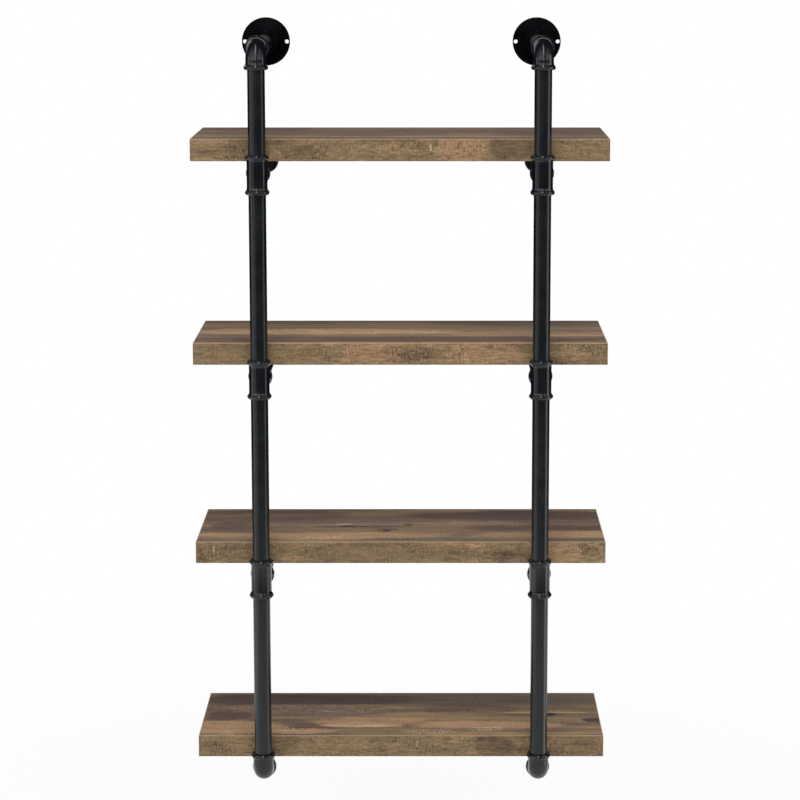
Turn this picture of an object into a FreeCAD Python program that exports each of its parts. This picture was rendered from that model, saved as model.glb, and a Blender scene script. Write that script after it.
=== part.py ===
import FreeCAD, Part
import os
import Sketcher

# Wall shelf of four boards carried by two pipe frames.
# The frame of the part: +X to the right, +Y into the wall, +Z up.
# The origin lies on the wall, midway between the centres of the two wall flanges.
# All lengths are in millimetres.

SHELF_COUNT = 4
SIDES = {"left": -1, "right": 1}
CLOSE_SHARE = 0.0005

# Driving dimensions, one cell each: name, value, meaning
DRIVING = [
    ("shelf_width", 600, "length of a shelf along the wall"),
    ("shelf_depth", 210, "depth of a shelf, from its front edge to the wall"),
    ("shelf_thickness", 32, "thickness of a shelf"),
    ("shelf_pitch", 295, "height from one shelf to the next"),
    ("shelf_drop", 129, "from the axis of the top arms down to the top of the first shelf"),
    ("edging_thickness", 1, "thickness of the strips glued round a board"),
    ("edging_round", 0.5, "rounding of the long edges of an edging strip"),
    ("post_spacing", 406, "between the axes of the two posts, the spacing of wall studs"),
    ("tube_d", 25, "outside diameter of every tube"),
    ("tube_wall", 1.5, "wall of every tube"),
    ("fit_clearance", 0.1, "radial play of a tube in its socket"),
    ("end_clearance", 0.2, "play between a tube's end and the floor of its socket"),
    ("seat_clearance", 0.1, "play between a shelf and the beads that it rests on"),
    ("front_gap", 1.5, "from the front edge of a shelf to the beads on the posts"),
    ("fitting_wall", 2.2, "wall of a cast fitting round its socket"),
    ("socket_depth", 12, "depth of every socket"),
    ("mouth_bevel", 0.6, "bevel at the mouth of a socket"),
    ("bead_width", 6.5, "width of the bead round an outlet"),
    ("bead_crown_width", 2.5, "width of the bead's level crown"),
    ("bead_rise", 2.7, "height of the bead's crown over the fitting's body"),
    ("bead_foot_rise", 1.2, "height of the bead's foot over the fitting's body"),
    ("flare_length", 4, "length over which the body flares up to the bead's foot"),
    ("tee_shoulder", 1.7, "from the tee's crossing to the floors of its sockets"),
    ("branch_step", 0.4, "by how much a tee's branch, outside and inside, is slimmer than its run"),
    ("crotch_round", 2.2, "rounding where a tee's branch meets its run"),
    ("elbow_throat", 3, "radius of the inner side of an elbow's bend"),
    ("flange_d", 72, "diameter of a wall flange"),
    ("flange_thickness", 4.5, "thickness of a wall flange's disc"),
    ("flange_seat", 3, "from the wall to the floor of a wall flange's socket"),
    ("flange_edge_round", 1.2, "rounding of a wall flange's rim"),
    ("flange_root_round", 2.5, "rounding where a wall flange's hub meets its disc"),
    ("flange_hole_d", 6, "diameter of a wall screw's hole"),
    ("flange_hole_inset", 4.5, "from a wall flange's rim to the centres of its holes"),
    ("cap_seat", 3, "from the wall to the floor of a wall cap's socket"),
    ("cap_end_bevel", 2, "bevel of a wall cap's closed end"),
    ("screw_shank_d", 4, "diameter of a shelf screw's shank"),
    ("screw_head_d", 8.5, "diameter of a shelf screw's head"),
    ("screw_head_height", 2.8, "height of a shelf screw's head"),
    ("screw_head_round", 1.6, "rounding of a shelf screw's head"),
    ("screw_tip_length", 4, "length of a shelf screw's point"),
    ("screw_bite", 16, "length of a shelf screw inside the board"),
    ("screw_inset", 45, "from the front and back edges of a shelf to its screws"),
    ("screw_play", 0.25, "radial play of a shelf screw in its bar"),
    ("pilot_play", 0.05, "radial play of a shelf screw in its board"),
]

# Dimensions that follow from the driving ones: name, formula, meaning
DERIVED = [
    ("half_width", "shelf_width / 2", "from the middle of a shelf to its end"),
    ("half_core", "half_width - edging_thickness", "from the middle of a board's core to its end"),
    ("core_front", "shelf_depth - edging_thickness", "from the wall to the front of a board's core"),
    ("post_x", "post_spacing / 2", "from the middle of the part to a post's axis"),
    ("tube_r", "tube_d / 2", "outside radius of a tube"),
    ("tube_bore_r", "tube_r - tube_wall", "bore of a tube and passage of a fitting"),
    ("socket_r", "tube_r + fit_clearance", "radius of a socket"),
    ("mouth_r", "socket_r + mouth_bevel", "radius of a socket's mouth"),
    ("fitting_r", "socket_r + fitting_wall", "radius of a fitting's body"),
    ("branch_r", "fitting_r - branch_step", "radius of a tee's branch"),
    ("branch_bore_r", "tube_bore_r - branch_step", "passage of a tee's branch"),
    ("bead_r", "fitting_r + bead_rise", "radius of a bead's crown"),
    ("bead_foot_r", "fitting_r + bead_foot_rise", "radius of a bead's foot"),
    ("bead_slope", "(bead_width - bead_crown_width) / 2", "width of a bead's sloping sides"),
    ("post_reach", "shelf_depth + front_gap + bead_r", "from the wall to a post's axis"),
    ("bar_drop", "bead_r + seat_clearance", "from the underside of a shelf to its bars' axes"),
    ("first_bar_depth", "shelf_drop + shelf_thickness + bar_drop", "first bars under the top arms"),
    ("tee_seat", "fitting_r + tee_shoulder", "from a tee's centre to the floors of its sockets"),
    ("tee_reach", "tee_seat + socket_depth", "from a tee's centre to its mouths"),
    ("elbow_seat", "fitting_r + elbow_throat", "radius of an elbow's bend, and its sockets' floors"),
    ("elbow_reach", "elbow_seat + socket_depth", "from an elbow's corner to its mouths"),
    ("flange_r", "flange_d / 2", "radius of a wall flange"),
    ("flange_reach", "flange_seat + socket_depth", "from the wall to the mouth of a wall flange"),
    ("flange_hole_r", "flange_hole_d / 2", "radius of a wall screw's hole"),
    ("flange_hole_x", "flange_r - flange_hole_inset", "from a wall flange's centre to its holes"),
    ("cap_reach", "cap_seat + socket_depth", "from the wall to the mouth of a wall cap"),
    ("arm_start", "flange_seat + end_clearance", "from the wall to the end of a top arm"),
    ("arm_length", "post_reach - elbow_seat - arm_start - end_clearance", "length of a top arm"),
    ("bar_start", "cap_seat + end_clearance", "from the wall to the end of a bar"),
    ("bar_length", "post_reach - tee_seat - bar_start - end_clearance", "bar in a tee"),
    ("low_bar_length", "post_reach - elbow_seat - bar_start - end_clearance", "bar in an elbow"),
    (
        "top_post_length",
        "first_bar_depth - elbow_seat - tee_seat - 2 * end_clearance",
        "post between the top elbow and the first tee",
    ),
    ("mid_post_length", "shelf_pitch - 2 * (tee_seat + end_clearance)", "post between two tees"),
    (
        "low_post_length",
        "shelf_pitch - tee_seat - elbow_seat - 2 * end_clearance",
        "post between the last tee and the bottom elbow",
    ),
    ("tee_floor", "tee_seat + end_clearance", "from a tee's centre to the end of a post in it"),
    ("elbow_floor", "elbow_seat + end_clearance", "from an elbow's corner to the end of a post in it"),
    ("screw_front", "shelf_depth - screw_inset", "from the wall to a front shelf screw"),
    ("screw_hole_r", "screw_shank_d / 2 + screw_play", "radius of a screw hole in a bar"),
    ("pilot_r", "screw_shank_d / 2 + pilot_play", "radius of a pilot hole in a board"),
    ("pilot_depth", "screw_bite + end_clearance", "depth of a pilot hole in a board"),
    ("shank_r", "screw_shank_d / 2", "radius of a shelf screw's shank"),
    ("head_r", "screw_head_d / 2", "radius of a shelf screw's head"),
    ("screw_drop", "bar_drop + tube_r", "from the underside of a shelf to its screws' heads"),
    ("screw_length", "screw_drop + screw_bite", "length of a shelf screw under its head"),
    ("screw_shoulder", "screw_length - screw_tip_length", "length of a shelf screw's full shank"),
]

# Stations of the bead and flare at the outlets of each kind of fitting
for fitting in ("tee", "elbow", "flange", "cap"):
    DERIVED += [
        (fitting + "_bevel_start", fitting + "_reach - mouth_bevel", "start of the mouth's bevel"),
        (fitting + "_crown_end", fitting + "_reach - bead_slope", "end of the bead's crown"),
        (fitting + "_crown_start", fitting + "_crown_end - bead_crown_width", "start of the crown"),
        (fitting + "_bead_start", fitting + "_crown_start - bead_slope", "start of the bead"),
        (fitting + "_flare_start", fitting + "_bead_start - flare_length", "start of the flare"),
    ]

doc = FreeCAD.newDocument("wall_shelf")
sheet = doc.addObject("Spreadsheet::Sheet", "Dimensions")
sub_parts = []


def fill_sheet():
    """Write every dimension into the sheet under its own name."""
    row = 0
    for name, value, meaning in DRIVING:
        row += 1
        write_cell(row, name, str(value), meaning)
    for name, formula, meaning in DERIVED:
        row += 1
        write_cell(row, name, "=" + formula, meaning)
    doc.recompute()


def write_cell(row, name, content, meaning):
    """Fill one row of the sheet: name, value and meaning."""
    sheet.set("A%d" % row, name)
    sheet.set("B%d" % row, content)
    sheet.setAlias("B%d" % row, name)
    sheet.set("C%d" % row, meaning)


def size(name):
    """Value of a named dimension, turned round by a leading minus."""
    if name == "zero":
        return 0.0
    sign = -1.0 if name.startswith("-") else 1.0
    return sign * float(sheet.get(name.lstrip("-")))


def bind(item, path, name):
    """Tie a property to a named dimension, turned round by a leading minus."""
    sign = "-" if name.startswith("-") else ""
    item.setExpression(path, sign + "Dimensions." + name.lstrip("-"))


# Sketches


def origin_plane(body, role):
    """One of a body's own origin planes."""
    for item in body.Origin.OriginFeatures:
        if item.Role == role:
            return item
    raise ValueError(role)


def new_sketch(body, name, role, height="zero"):
    """An empty sketch on one of the body's planes, raised to a named height."""
    sketch = body.newObject("Sketcher::SketchObject", name)
    sketch.AttachmentSupport = [(origin_plane(body, role), "")]
    sketch.MapMode = "FlatFace"
    if height != "zero":
        bind(sketch, "AttachmentOffset.Base.z", height)
    return sketch


def hold_point(sketch, edge, end, across, along):
    """Hold one end of an edge at two named distances from the sketch's origin."""
    for kind, axis, name in (("DistanceX", -2, across), ("DistanceY", -1, along)):
        if name == "zero":
            sketch.addConstraint(Sketcher.Constraint("PointOnObject", edge, end, axis))
        else:
            held = Sketcher.Constraint(kind, -1, 1, edge, end, size(name))
            bind(sketch, "Constraints[%d]" % sketch.addConstraint(held), name)


def draw_outline(sketch, stations):
    """Close an outline through its stations and hold each one.

    A station is a pair of named distances. Where a third item follows, the edge
    that leaves the station is an arc: the item names the crown that the arc
    passes through, and the arc's radius.
    """
    count = len(stations)
    points = [FreeCAD.Vector(size(item[0]), size(item[1]), 0) for item in stations]
    for index, item in enumerate(stations):
        start = points[index]
        finish = points[(index + 1) % count]
        if len(item) > 2:
            crown = FreeCAD.Vector(size(item[2][0]), size(item[2][1]), 0)
            edge = left_hand_arc(start, crown, finish)
        else:
            edge = Part.LineSegment(start, finish)
        sketch.addGeometry(edge, False)
    ends = [edge_ends(sketch.Geometry[index], points[index]) for index in range(count)]
    for index, item in enumerate(stations):
        following = (index + 1) % count
        joint = Sketcher.Constraint("Coincident", index, ends[index][1], following, ends[following][0])
        sketch.addConstraint(joint)
        hold_point(sketch, index, ends[index][0], item[0], item[1])
        if len(item) > 2:
            radius = Sketcher.Constraint("Radius", index, size(item[2][2]))
            bind(sketch, "Constraints[%d]" % sketch.addConstraint(radius), item[2][2])


def left_hand_arc(start, crown, finish):
    """The arc through three points, told in the sense that turns to the left."""
    turns_left = (crown - start).cross(finish - start).z > 0
    return Part.Arc(start, crown, finish) if turns_left else Part.Arc(finish, crown, start)


def edge_ends(edge, start):
    """Numbers of an edge's first and last point, as an outline runs through it."""
    if edge.StartPoint.distanceToPoint(start) < edge.EndPoint.distanceToPoint(start):
        return 1, 2
    return 2, 1


def draw_circle(sketch, across, along, radius):
    """Draw a circle and hold its centre and radius."""
    centre = FreeCAD.Vector(size(across), size(along), 0)
    index = sketch.addGeometry(Part.Circle(centre, FreeCAD.Vector(0, 0, 1), size(radius)), False)
    hold_point(sketch, index, 3, across, along)
    held = Sketcher.Constraint("Radius", index, size(radius))
    bind(sketch, "Constraints[%d]" % sketch.addConstraint(held), radius)


def draw_rectangle(sketch, low_x, high_x, low_y, high_y):
    """Draw a rectangle between four named distances."""
    draw_outline(sketch, [(low_x, low_y), (high_x, low_y), (high_x, high_y), (low_x, high_y)])


# Features


def new_body(label):
    """An empty body that becomes one piece."""
    return doc.addObject("PartDesign::Body", label)


def pad(body, sketch, length, reverse=False):
    """Raise a sketch to a named length."""
    feature = body.newObject("PartDesign::Pad", sketch.Name + "_pad")
    feature.Profile = sketch
    feature.Reversed = reverse
    bind(feature, "Length", length)
    doc.recompute()


def cut(body, sketch, depth=""):
    """Cut a sketch upwards to a named depth, or right through to both sides."""
    before = solid_volume(body)
    feature = body.newObject("PartDesign::Pocket", sketch.Name + "_cut")
    feature.Profile = sketch
    if depth:
        feature.Reversed = True
        bind(feature, "Length", depth)
    else:
        feature.Type = "ThroughAll"
        feature.Midplane = True
    doc.recompute()
    require(solid_volume(body) < before, sketch.Name + " cuts nothing")


def turn(body, sketch, axis, cutting=False, angle=360):
    """Turn a sketch round one of its own axes, as material or as a cut."""
    before = solid_volume(body)
    kind = "PartDesign::Groove" if cutting else "PartDesign::Revolution"
    feature = body.newObject(kind, sketch.Name + "_turned")
    feature.Profile = sketch
    feature.ReferenceAxis = (sketch, [axis])
    feature.Angle = angle
    doc.recompute()
    grows = solid_volume(body) > before
    require(grows != cutting, sketch.Name + " changes nothing")


def dress_edges(body, name, kind, breadth, chosen):
    """Round or bevel the edges that a test picks, by a named size."""
    base = body.Tip
    names = ["Edge%d" % (i + 1) for i, edge in enumerate(base.Shape.Edges) if chosen(edge)]
    require(names, name + " found no edge")
    feature = body.newObject("PartDesign::" + kind, name)
    feature.Base = (base, names)
    bind(feature, "Radius" if kind == "Fillet" else "Size", breadth)
    doc.recompute()


def solid_volume(body):
    """Volume of a body so far, zero while it is empty."""
    return 0.0 if body.Shape.isNull() else body.Shape.Volume


def require(state, message):
    """Stop with a message unless a state holds."""
    if not state:
        raise RuntimeError(message)


def close(value, wanted):
    """Whether two measures agree within a small share of the tube's radius."""
    return abs(value - wanted) <= CLOSE_SHARE * size("tube_r")


def ring_at(radius, height):
    """Test for round edges about Z of a named radius at a named height."""

    def chosen(edge):
        curve = edge.Curve
        if not isinstance(curve, Part.Circle):
            return False
        return close(curve.Radius, size(radius)) and close(curve.Center.z, size(height))

    return chosen


# Placing and keeping pieces


def keep(item, label):
    """Give a piece its name and keep it for the assembly."""
    item.Label = label
    sub_parts.append(item)


def place(item, x="zero", y="zero", z="0", turned=FreeCAD.Rotation()):
    """Put a piece at named distances along X and Y and a formula's height along Z."""
    item.Placement = FreeCAD.Placement(FreeCAD.Vector(0, 0, 0), turned)
    if x != "zero":
        bind(item, "Placement.Base.x", x)
    if y != "zero":
        bind(item, "Placement.Base.y", y)
    item.setExpression("Placement.Base.z", z)


def bar_height(level):
    """Formula for the height of the bars under a shelf, counted from 1 at the top."""
    return "-(Dimensions.first_bar_depth + %d * Dimensions.shelf_pitch)" % (level - 1)


def shelf_top(level):
    """Formula for the height of a shelf's top, counted from 1 at the top."""
    return "-(Dimensions.shelf_drop + %d * Dimensions.shelf_pitch)" % (level - 1)


# Out of the wall: a piece drawn along +Z from the wall then runs towards the room
OUT_OF_WALL = FreeCAD.Rotation(FreeCAD.Vector(1, 0, 0), 90)
# Half a turn about Y: an elbow with its mouth down then has it up
UPSIDE_DOWN = FreeCAD.Rotation(FreeCAD.Vector(0, 1, 0), 180)

# Sketch plane, revolving axis and sign of each direction in which an outlet can point
DIRECTIONS = {
    "up": ("XZ_Plane", "V_Axis", ""),
    "down": ("XZ_Plane", "V_Axis", "-"),
    "back": ("YZ_Plane", "H_Axis", ""),
}


# Outlets of the cast fittings


def turn_outlet(body, name, direction, stations, cutting=False):
    """Turn an outline, told in radii and distances along an outlet, round its axis."""
    role, axis, sign = DIRECTIONS[direction]
    outline = []
    for radius, distance in stations:
        if distance != "zero":
            distance = sign + distance
        outline.append((distance, radius) if axis == "H_Axis" else (radius, distance))
    sketch = new_sketch(body, name + "_" + direction, role)
    draw_outline(sketch, outline)
    turn(body, sketch, axis, cutting)


def add_outlet(body, fitting, direction, start="zero", radius="fitting_r"):
    """Add an outlet's body, the flare that leads to its bead, and the bead."""
    stations = [
        ("zero", start),
        (radius, start),
        (radius, fitting + "_flare_start"),
        ("bead_foot_r", fitting + "_bead_start"),
        ("bead_r", fitting + "_crown_start"),
        ("bead_r", fitting + "_crown_end"),
        ("bead_foot_r", fitting + "_reach"),
        ("zero", fitting + "_reach"),
    ]
    turn_outlet(body, "outlet", direction, stations)


def bore_outlet(body, fitting, direction, passage=""):
    """Cut an outlet's socket with its bevelled mouth, and a passage of a named radius to the centre."""
    seat = fitting + "_seat"
    stations = [("zero", seat)]
    if passage:
        stations = [("zero", "zero"), (passage, "zero"), (passage, seat)]
    stations += [
        ("socket_r", seat),
        ("socket_r", fitting + "_bevel_start"),
        ("mouth_r", fitting + "_reach"),
        ("zero", fitting + "_reach"),
    ]
    turn_outlet(body, "socket", direction, stations, cutting=True)


# Pieces of the two pipe frames


def make_tube(label, start, length):
    """A tube drawn along Z from a named height."""
    body = new_body(label)
    sketch = new_sketch(body, "section", "XY_Plane", start)
    draw_circle(sketch, "zero", "zero", "tube_r")
    draw_circle(sketch, "zero", "zero", "tube_bore_r")
    pad(body, sketch, length)
    keep(body, label)
    return body


def make_bar(label, length):
    """A tube under a shelf, with two holes across it for the shelf screws."""
    body = make_tube(label, "bar_start", length)
    sketch = new_sketch(body, "screw_holes", "XZ_Plane")
    draw_circle(sketch, "zero", "screw_inset", "screw_hole_r")
    draw_circle(sketch, "zero", "screw_front", "screw_hole_r")
    cut(body, sketch)
    return body


def make_tee(label):
    """A cast tee: beaded outlets up, down and back, blended where they cross."""
    body = new_body(label)
    add_outlet(body, "tee", "up")
    add_outlet(body, "tee", "down")
    add_outlet(body, "tee", "back", radius="branch_r")
    dress_edges(body, "crotch", "Fillet", "crotch_round", on_crotch)
    bore_outlet(body, "tee", "up", passage="tube_bore_r")
    bore_outlet(body, "tee", "down", passage="tube_bore_r")
    bore_outlet(body, "tee", "back", passage="branch_bore_r")
    keep(body, label)
    return body


def on_crotch(edge):
    """Whether an edge lies where a tee's branch leaves its run."""
    point = edge.valueAt((edge.FirstParameter + edge.LastParameter) / 2)
    on_run = close((point.x**2 + point.y**2) ** 0.5, size("fitting_r"))
    on_branch = close((point.x**2 + point.z**2) ** 0.5, size("branch_r"))
    return on_run and on_branch


def make_elbow(label):
    """A cast elbow: a quarter bend between beaded outlets down and back."""
    body = new_body(label)
    bend_circle(body, "fitting_r")
    add_outlet(body, "elbow", "down", start="elbow_seat")
    add_outlet(body, "elbow", "back", start="elbow_seat")
    bend_circle(body, "tube_bore_r", cutting=True)
    bore_outlet(body, "elbow", "down")
    bore_outlet(body, "elbow", "back")
    keep(body, label)
    return body


def bend_circle(body, radius, cutting=False):
    """Turn a circle of a named radius through an elbow's quarter bend."""
    sketch = new_sketch(body, "bend_of_" + radius, "XY_Plane", "-elbow_seat")
    draw_circle(sketch, "zero", "zero", radius)
    reach = size("elbow_seat")
    hinge = Part.LineSegment(FreeCAD.Vector(reach, reach, 0), FreeCAD.Vector(0, reach, 0))
    index = sketch.addGeometry(hinge, True)
    hold_point(sketch, index, 1, "elbow_seat", "elbow_seat")
    hold_point(sketch, index, 2, "zero", "elbow_seat")
    doc.recompute()
    turn(body, sketch, "Axis0", cutting, angle=90)


def make_flange(label):
    """A wall flange: a disc with two screw holes and a beaded hub for the top arm."""
    body = new_body(label)
    disc = new_sketch(body, "disc", "XY_Plane")
    draw_circle(disc, "zero", "zero", "flange_r")
    pad(body, disc, "flange_thickness")
    add_outlet(body, "flange", "up")
    rim = ring_at("flange_r", "flange_thickness")
    dress_edges(body, "rim", "Fillet", "flange_edge_round", rim)
    dress_edges(body, "root", "Fillet", "flange_root_round", on_flange_root)
    bore_outlet(body, "flange", "up")
    holes = new_sketch(body, "wall_screw_holes", "XY_Plane")
    draw_circle(holes, "flange_hole_x", "zero", "flange_hole_r")
    draw_circle(holes, "-flange_hole_x", "zero", "flange_hole_r")
    cut(body, holes)
    keep(body, label)
    return body


def on_flange_root(edge):
    """Whether an edge is the ring where a wall flange's hub leaves its disc."""
    curve = edge.Curve
    if not isinstance(curve, Part.Circle) or not close(curve.Center.z, size("flange_thickness")):
        return False
    return curve.Radius < size("bead_r")


def make_cap(label):
    """A cap that closes the wall end of a bar and rests on the wall."""
    body = new_body(label)
    add_outlet(body, "cap", "up")
    dress_edges(body, "end", "Chamfer", "cap_end_bevel", ring_at("fitting_r", "zero"))
    bore_outlet(body, "cap", "up")
    keep(body, label)
    return body


def make_frame(side):
    """The flange, arm, elbows, posts, tees, bars and caps of one side."""
    x = "post_x" if SIDES[side] > 0 else "-post_x"
    name = side + "_"
    place(make_flange(name + "wall_flange"), x, turned=OUT_OF_WALL)
    place(make_tube(name + "top_arm", "arm_start", "arm_length"), x, turned=OUT_OF_WALL)
    place(make_elbow(name + "top_elbow"), x, "-post_reach")
    for level in range(1, SHELF_COUNT + 1):
        lowest = level == SHELF_COUNT
        if lowest:
            fitting = make_elbow(name + "bottom_elbow")
            place(fitting, x, "-post_reach", bar_height(level), UPSIDE_DOWN)
        else:
            place(make_tee(name + "tee_%d" % level), x, "-post_reach", bar_height(level))
        length = "top_post_length" if level == 1 else "mid_post_length"
        if lowest:
            length = "low_post_length"
        post = make_tube(name + "post_%d" % level, "elbow_floor" if lowest else "tee_floor", length)
        place(post, x, "-post_reach", bar_height(level))
        bar = make_bar(name + "bar_%d" % level, "low_bar_length" if lowest else "bar_length")
        place(bar, x, z=bar_height(level), turned=OUT_OF_WALL)
        cap = make_cap(name + "wall_cap_%d" % level)
        place(cap, x, z=bar_height(level), turned=OUT_OF_WALL)


# Shelves


def make_board(label, level):
    """A board's core, with pilot holes for its screws in the underside."""
    body = new_body(label)
    outline = new_sketch(body, "outline", "XY_Plane")
    draw_rectangle(outline, "-half_core", "half_core", "-core_front", "-edging_thickness")
    pad(body, outline, "shelf_thickness", reverse=True)
    pilots = new_sketch(body, "pilot_holes", "XY_Plane", "-shelf_thickness")
    for x in ("-post_x", "post_x"):
        draw_circle(pilots, x, "-screw_inset", "pilot_r")
        draw_circle(pilots, x, "-screw_front", "pilot_r")
    cut(body, pilots, "pilot_depth")
    place(body, z=shelf_top(level))
    keep(body, label)


def make_strip(label, outer_edges, low_x, high_x, low_y, high_y):
    """An edging strip as deep as a shelf is thick, with its outer long edges rounded."""
    body = new_body(label)
    outline = new_sketch(body, "outline", "XY_Plane")
    draw_rectangle(outline, low_x, high_x, low_y, high_y)
    pad(body, outline, "shelf_thickness", reverse=True)
    dress_edges(body, "long_edges", "Fillet", "edging_round", outer_edges)
    return body


def long_edges_at(axis, name):
    """Test for level edges that lie at a named distance along X or Y."""

    def chosen(edge):
        low, high = [getattr(vertex.Point, axis) for vertex in edge.Vertexes]
        level = close(edge.Vertexes[0].Point.z, edge.Vertexes[1].Point.z)
        return level and close(low, size(name)) and close(high, size(name))

    return chosen


def make_edging(label, level):
    """The strips glued to the front, the back and both ends of a board."""
    front = make_strip(
        label + "_front_edging",
        long_edges_at("y", "-shelf_depth"),
        "-half_width",
        "half_width",
        "-shelf_depth",
        "-core_front",
    )
    back = make_strip(
        label + "_back_edging",
        long_edges_at("y", "zero"),
        "-half_width",
        "half_width",
        "-edging_thickness",
        "zero",
    )
    for strip in (front, back):
        place(strip, z=shelf_top(level))
        keep(strip, strip.Name)
    ends = doc.addObject("Part::Compound", label + "_end_edgings")
    ends.Links = [
        make_strip(
            label + "_left_strip",
            long_edges_at("x", "-half_width"),
            "-half_width",
            "-half_core",
            "-core_front",
            "-edging_thickness",
        ),
        make_strip(
            label + "_right_strip",
            long_edges_at("x", "half_width"),
            "half_core",
            "half_width",
            "-core_front",
            "-edging_thickness",
        ),
    ]
    place(ends, z=shelf_top(level))
    keep(ends, ends.Name)


def make_screw(label, x, y):
    """A shelf screw with its head down and its point up, from the underside of its head."""
    body = new_body(label)
    outline = new_sketch(body, "outline", "XZ_Plane")
    draw_outline(
        outline,
        [
            ("zero", "-screw_head_height"),
            ("head_r", "-screw_head_height"),
            ("head_r", "zero"),
            ("shank_r", "zero"),
            ("shank_r", "screw_shoulder"),
            ("zero", "screw_length"),
        ],
    )
    turn(body, outline, "V_Axis")
    rim = ring_at("head_r", "-screw_head_height")
    dress_edges(body, "head_round", "Fillet", "screw_head_round", rim)
    place(body, x, y)
    return body


def make_screws(label, level):
    """The four screws that hold a board down on its bars."""
    screws = []
    for x in ("-post_x", "post_x"):
        for y in ("-screw_inset", "-screw_front"):
            screws.append(make_screw(label + "_%d" % (len(screws) + 1), x, y))
    group = doc.addObject("Part::Compound", label)
    group.Links = screws
    place(group, z=bar_height(level) + " - Dimensions.tube_r")
    keep(group, label)


def make_shelf(level):
    """A board with its edging and its screws."""
    label = "shelf_%d" % level
    make_board(label + "_board", level)
    make_edging(label, level)
    make_screws(label + "_screws", level)


def check_document():
    """Stop unless every object is sound and every piece is whole."""
    doc.recompute()
    for item in doc.Objects:
        bad = [state for state in item.State if state in ("Invalid", "Error")]
        require(not bad, item.Name + " is " + " ".join(bad))
    for item in sub_parts:
        require(not item.Shape.isNull() and item.Shape.isValid(), item.Label + " has no valid shape")
        require(item.Shape.Solids, item.Label + " has no solid")


def write_parts():
    """Write each piece to its own file."""
    os.makedirs("parts", exist_ok=True)
    for item in sub_parts:
        item.Shape.exportStep("parts/" + item.Label + ".step")


fill_sheet()
for frame_side in SIDES:
    make_frame(frame_side)
for shelf_level in range(1, SHELF_COUNT + 1):
    make_shelf(shelf_level)
check_document()
write_parts()
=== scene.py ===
# Looks of a wall shelf: four rustic laminate boards on two black pipe frames.
import math

import bmesh
import bpy
from bpy.props import FloatProperty, FloatVectorProperty, IntProperty, PointerProperty
from mathutils import Matrix, Vector


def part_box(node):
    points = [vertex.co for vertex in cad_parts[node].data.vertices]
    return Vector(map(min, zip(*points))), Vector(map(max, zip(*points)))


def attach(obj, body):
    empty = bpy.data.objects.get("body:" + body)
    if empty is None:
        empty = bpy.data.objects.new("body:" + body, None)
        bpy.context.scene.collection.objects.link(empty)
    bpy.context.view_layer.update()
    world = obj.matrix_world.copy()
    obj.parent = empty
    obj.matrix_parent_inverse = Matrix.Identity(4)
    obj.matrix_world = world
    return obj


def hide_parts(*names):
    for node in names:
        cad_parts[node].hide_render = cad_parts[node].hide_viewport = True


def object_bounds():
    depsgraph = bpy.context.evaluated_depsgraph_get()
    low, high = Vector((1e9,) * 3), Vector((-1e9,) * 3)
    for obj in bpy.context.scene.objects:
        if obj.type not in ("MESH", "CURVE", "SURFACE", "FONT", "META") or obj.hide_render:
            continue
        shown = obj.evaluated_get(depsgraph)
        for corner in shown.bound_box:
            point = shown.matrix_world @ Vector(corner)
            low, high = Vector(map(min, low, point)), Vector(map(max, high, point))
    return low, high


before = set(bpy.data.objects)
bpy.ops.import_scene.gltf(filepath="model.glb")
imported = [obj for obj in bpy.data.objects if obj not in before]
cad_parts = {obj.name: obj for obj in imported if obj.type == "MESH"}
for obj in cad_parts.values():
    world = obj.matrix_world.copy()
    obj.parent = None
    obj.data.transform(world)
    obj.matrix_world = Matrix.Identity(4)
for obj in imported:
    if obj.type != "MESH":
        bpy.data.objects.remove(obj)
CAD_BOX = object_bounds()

bl_info = {
    "name": "Wall Shelf",
    "version": (1, 0, 0),
    "blender": (4, 5, 0),
    "location": "3D View > Sidebar > Wall Shelf",
    "description": "Finishes a wall shelf of four boards on two black pipe frames",
    "category": "Object",
}

MM = 0.001
SHELVES = (1, 2, 3, 4)
SIDES = ("left", "right")
BODY = "root"

# Sizes read from the frame
POST_LOW, POST_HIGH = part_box("left_post_1")
TEE_LOW, TEE_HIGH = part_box("left_tee_1")
ELBOW_LOW, ELBOW_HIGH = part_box("left_top_elbow")
FLANGE_LOW, FLANGE_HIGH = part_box("left_wall_flange")
CAP_LOW, CAP_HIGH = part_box("left_wall_cap_1")
TUBE_R = (POST_HIGH.x - POST_LOW.x) / 2
BEAD_R = (TEE_HIGH.x - TEE_LOW.x) / 2
TEE_REACH = (TEE_HIGH.z - TEE_LOW.z) / 2
ELBOW_REACH = ELBOW_HIGH.z - ELBOW_LOW.z - BEAD_R
FLANGE_R = (FLANGE_HIGH.x - FLANGE_LOW.x) / 2
FLANGE_REACH = FLANGE_HIGH.y - FLANGE_LOW.y
CAP_REACH = CAP_HIGH.y - CAP_LOW.y

# Resolution of the made pieces
RING_STEPS = 128
ARC_STEPS = 10
BEND_STEPS = 48
PATH_STEP = 0.3 * MM
MERGE_DISTANCE = 0.005 * MM
SHARP_ANGLE = math.radians(32)
# Rise of a quarter circle over its chord, as a share of its radius
QUARTER_RISE = 0.29
# How far a body's flare sags below the straight line to its bead
FLARE_SAG = 0.18 * MM
# Edge broken at the back of a wall flange
BACK_EDGE = 0.3 * MM


def srgb(red, green, blue):
    """Linear colour of a colour given as it shows, in steps of 255."""
    shown = [step / 255 for step in (red, green, blue)]
    return tuple(c / 12.92 if c <= 0.04045 else ((c + 0.055) / 1.055) ** 2.4 for c in shown)


def length(name, description, millimetres):
    """A property that holds a length."""
    value = millimetres * MM
    return FloatProperty(name=name, description=description, default=value, unit="LENGTH", precision=5)


def colour(name, description, red, green, blue):
    """A property that holds a colour."""
    value = srgb(red, green, blue)
    return FloatVectorProperty(
        name=name, description=description, default=value, subtype="COLOR", size=3, min=0, max=1
    )


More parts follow.
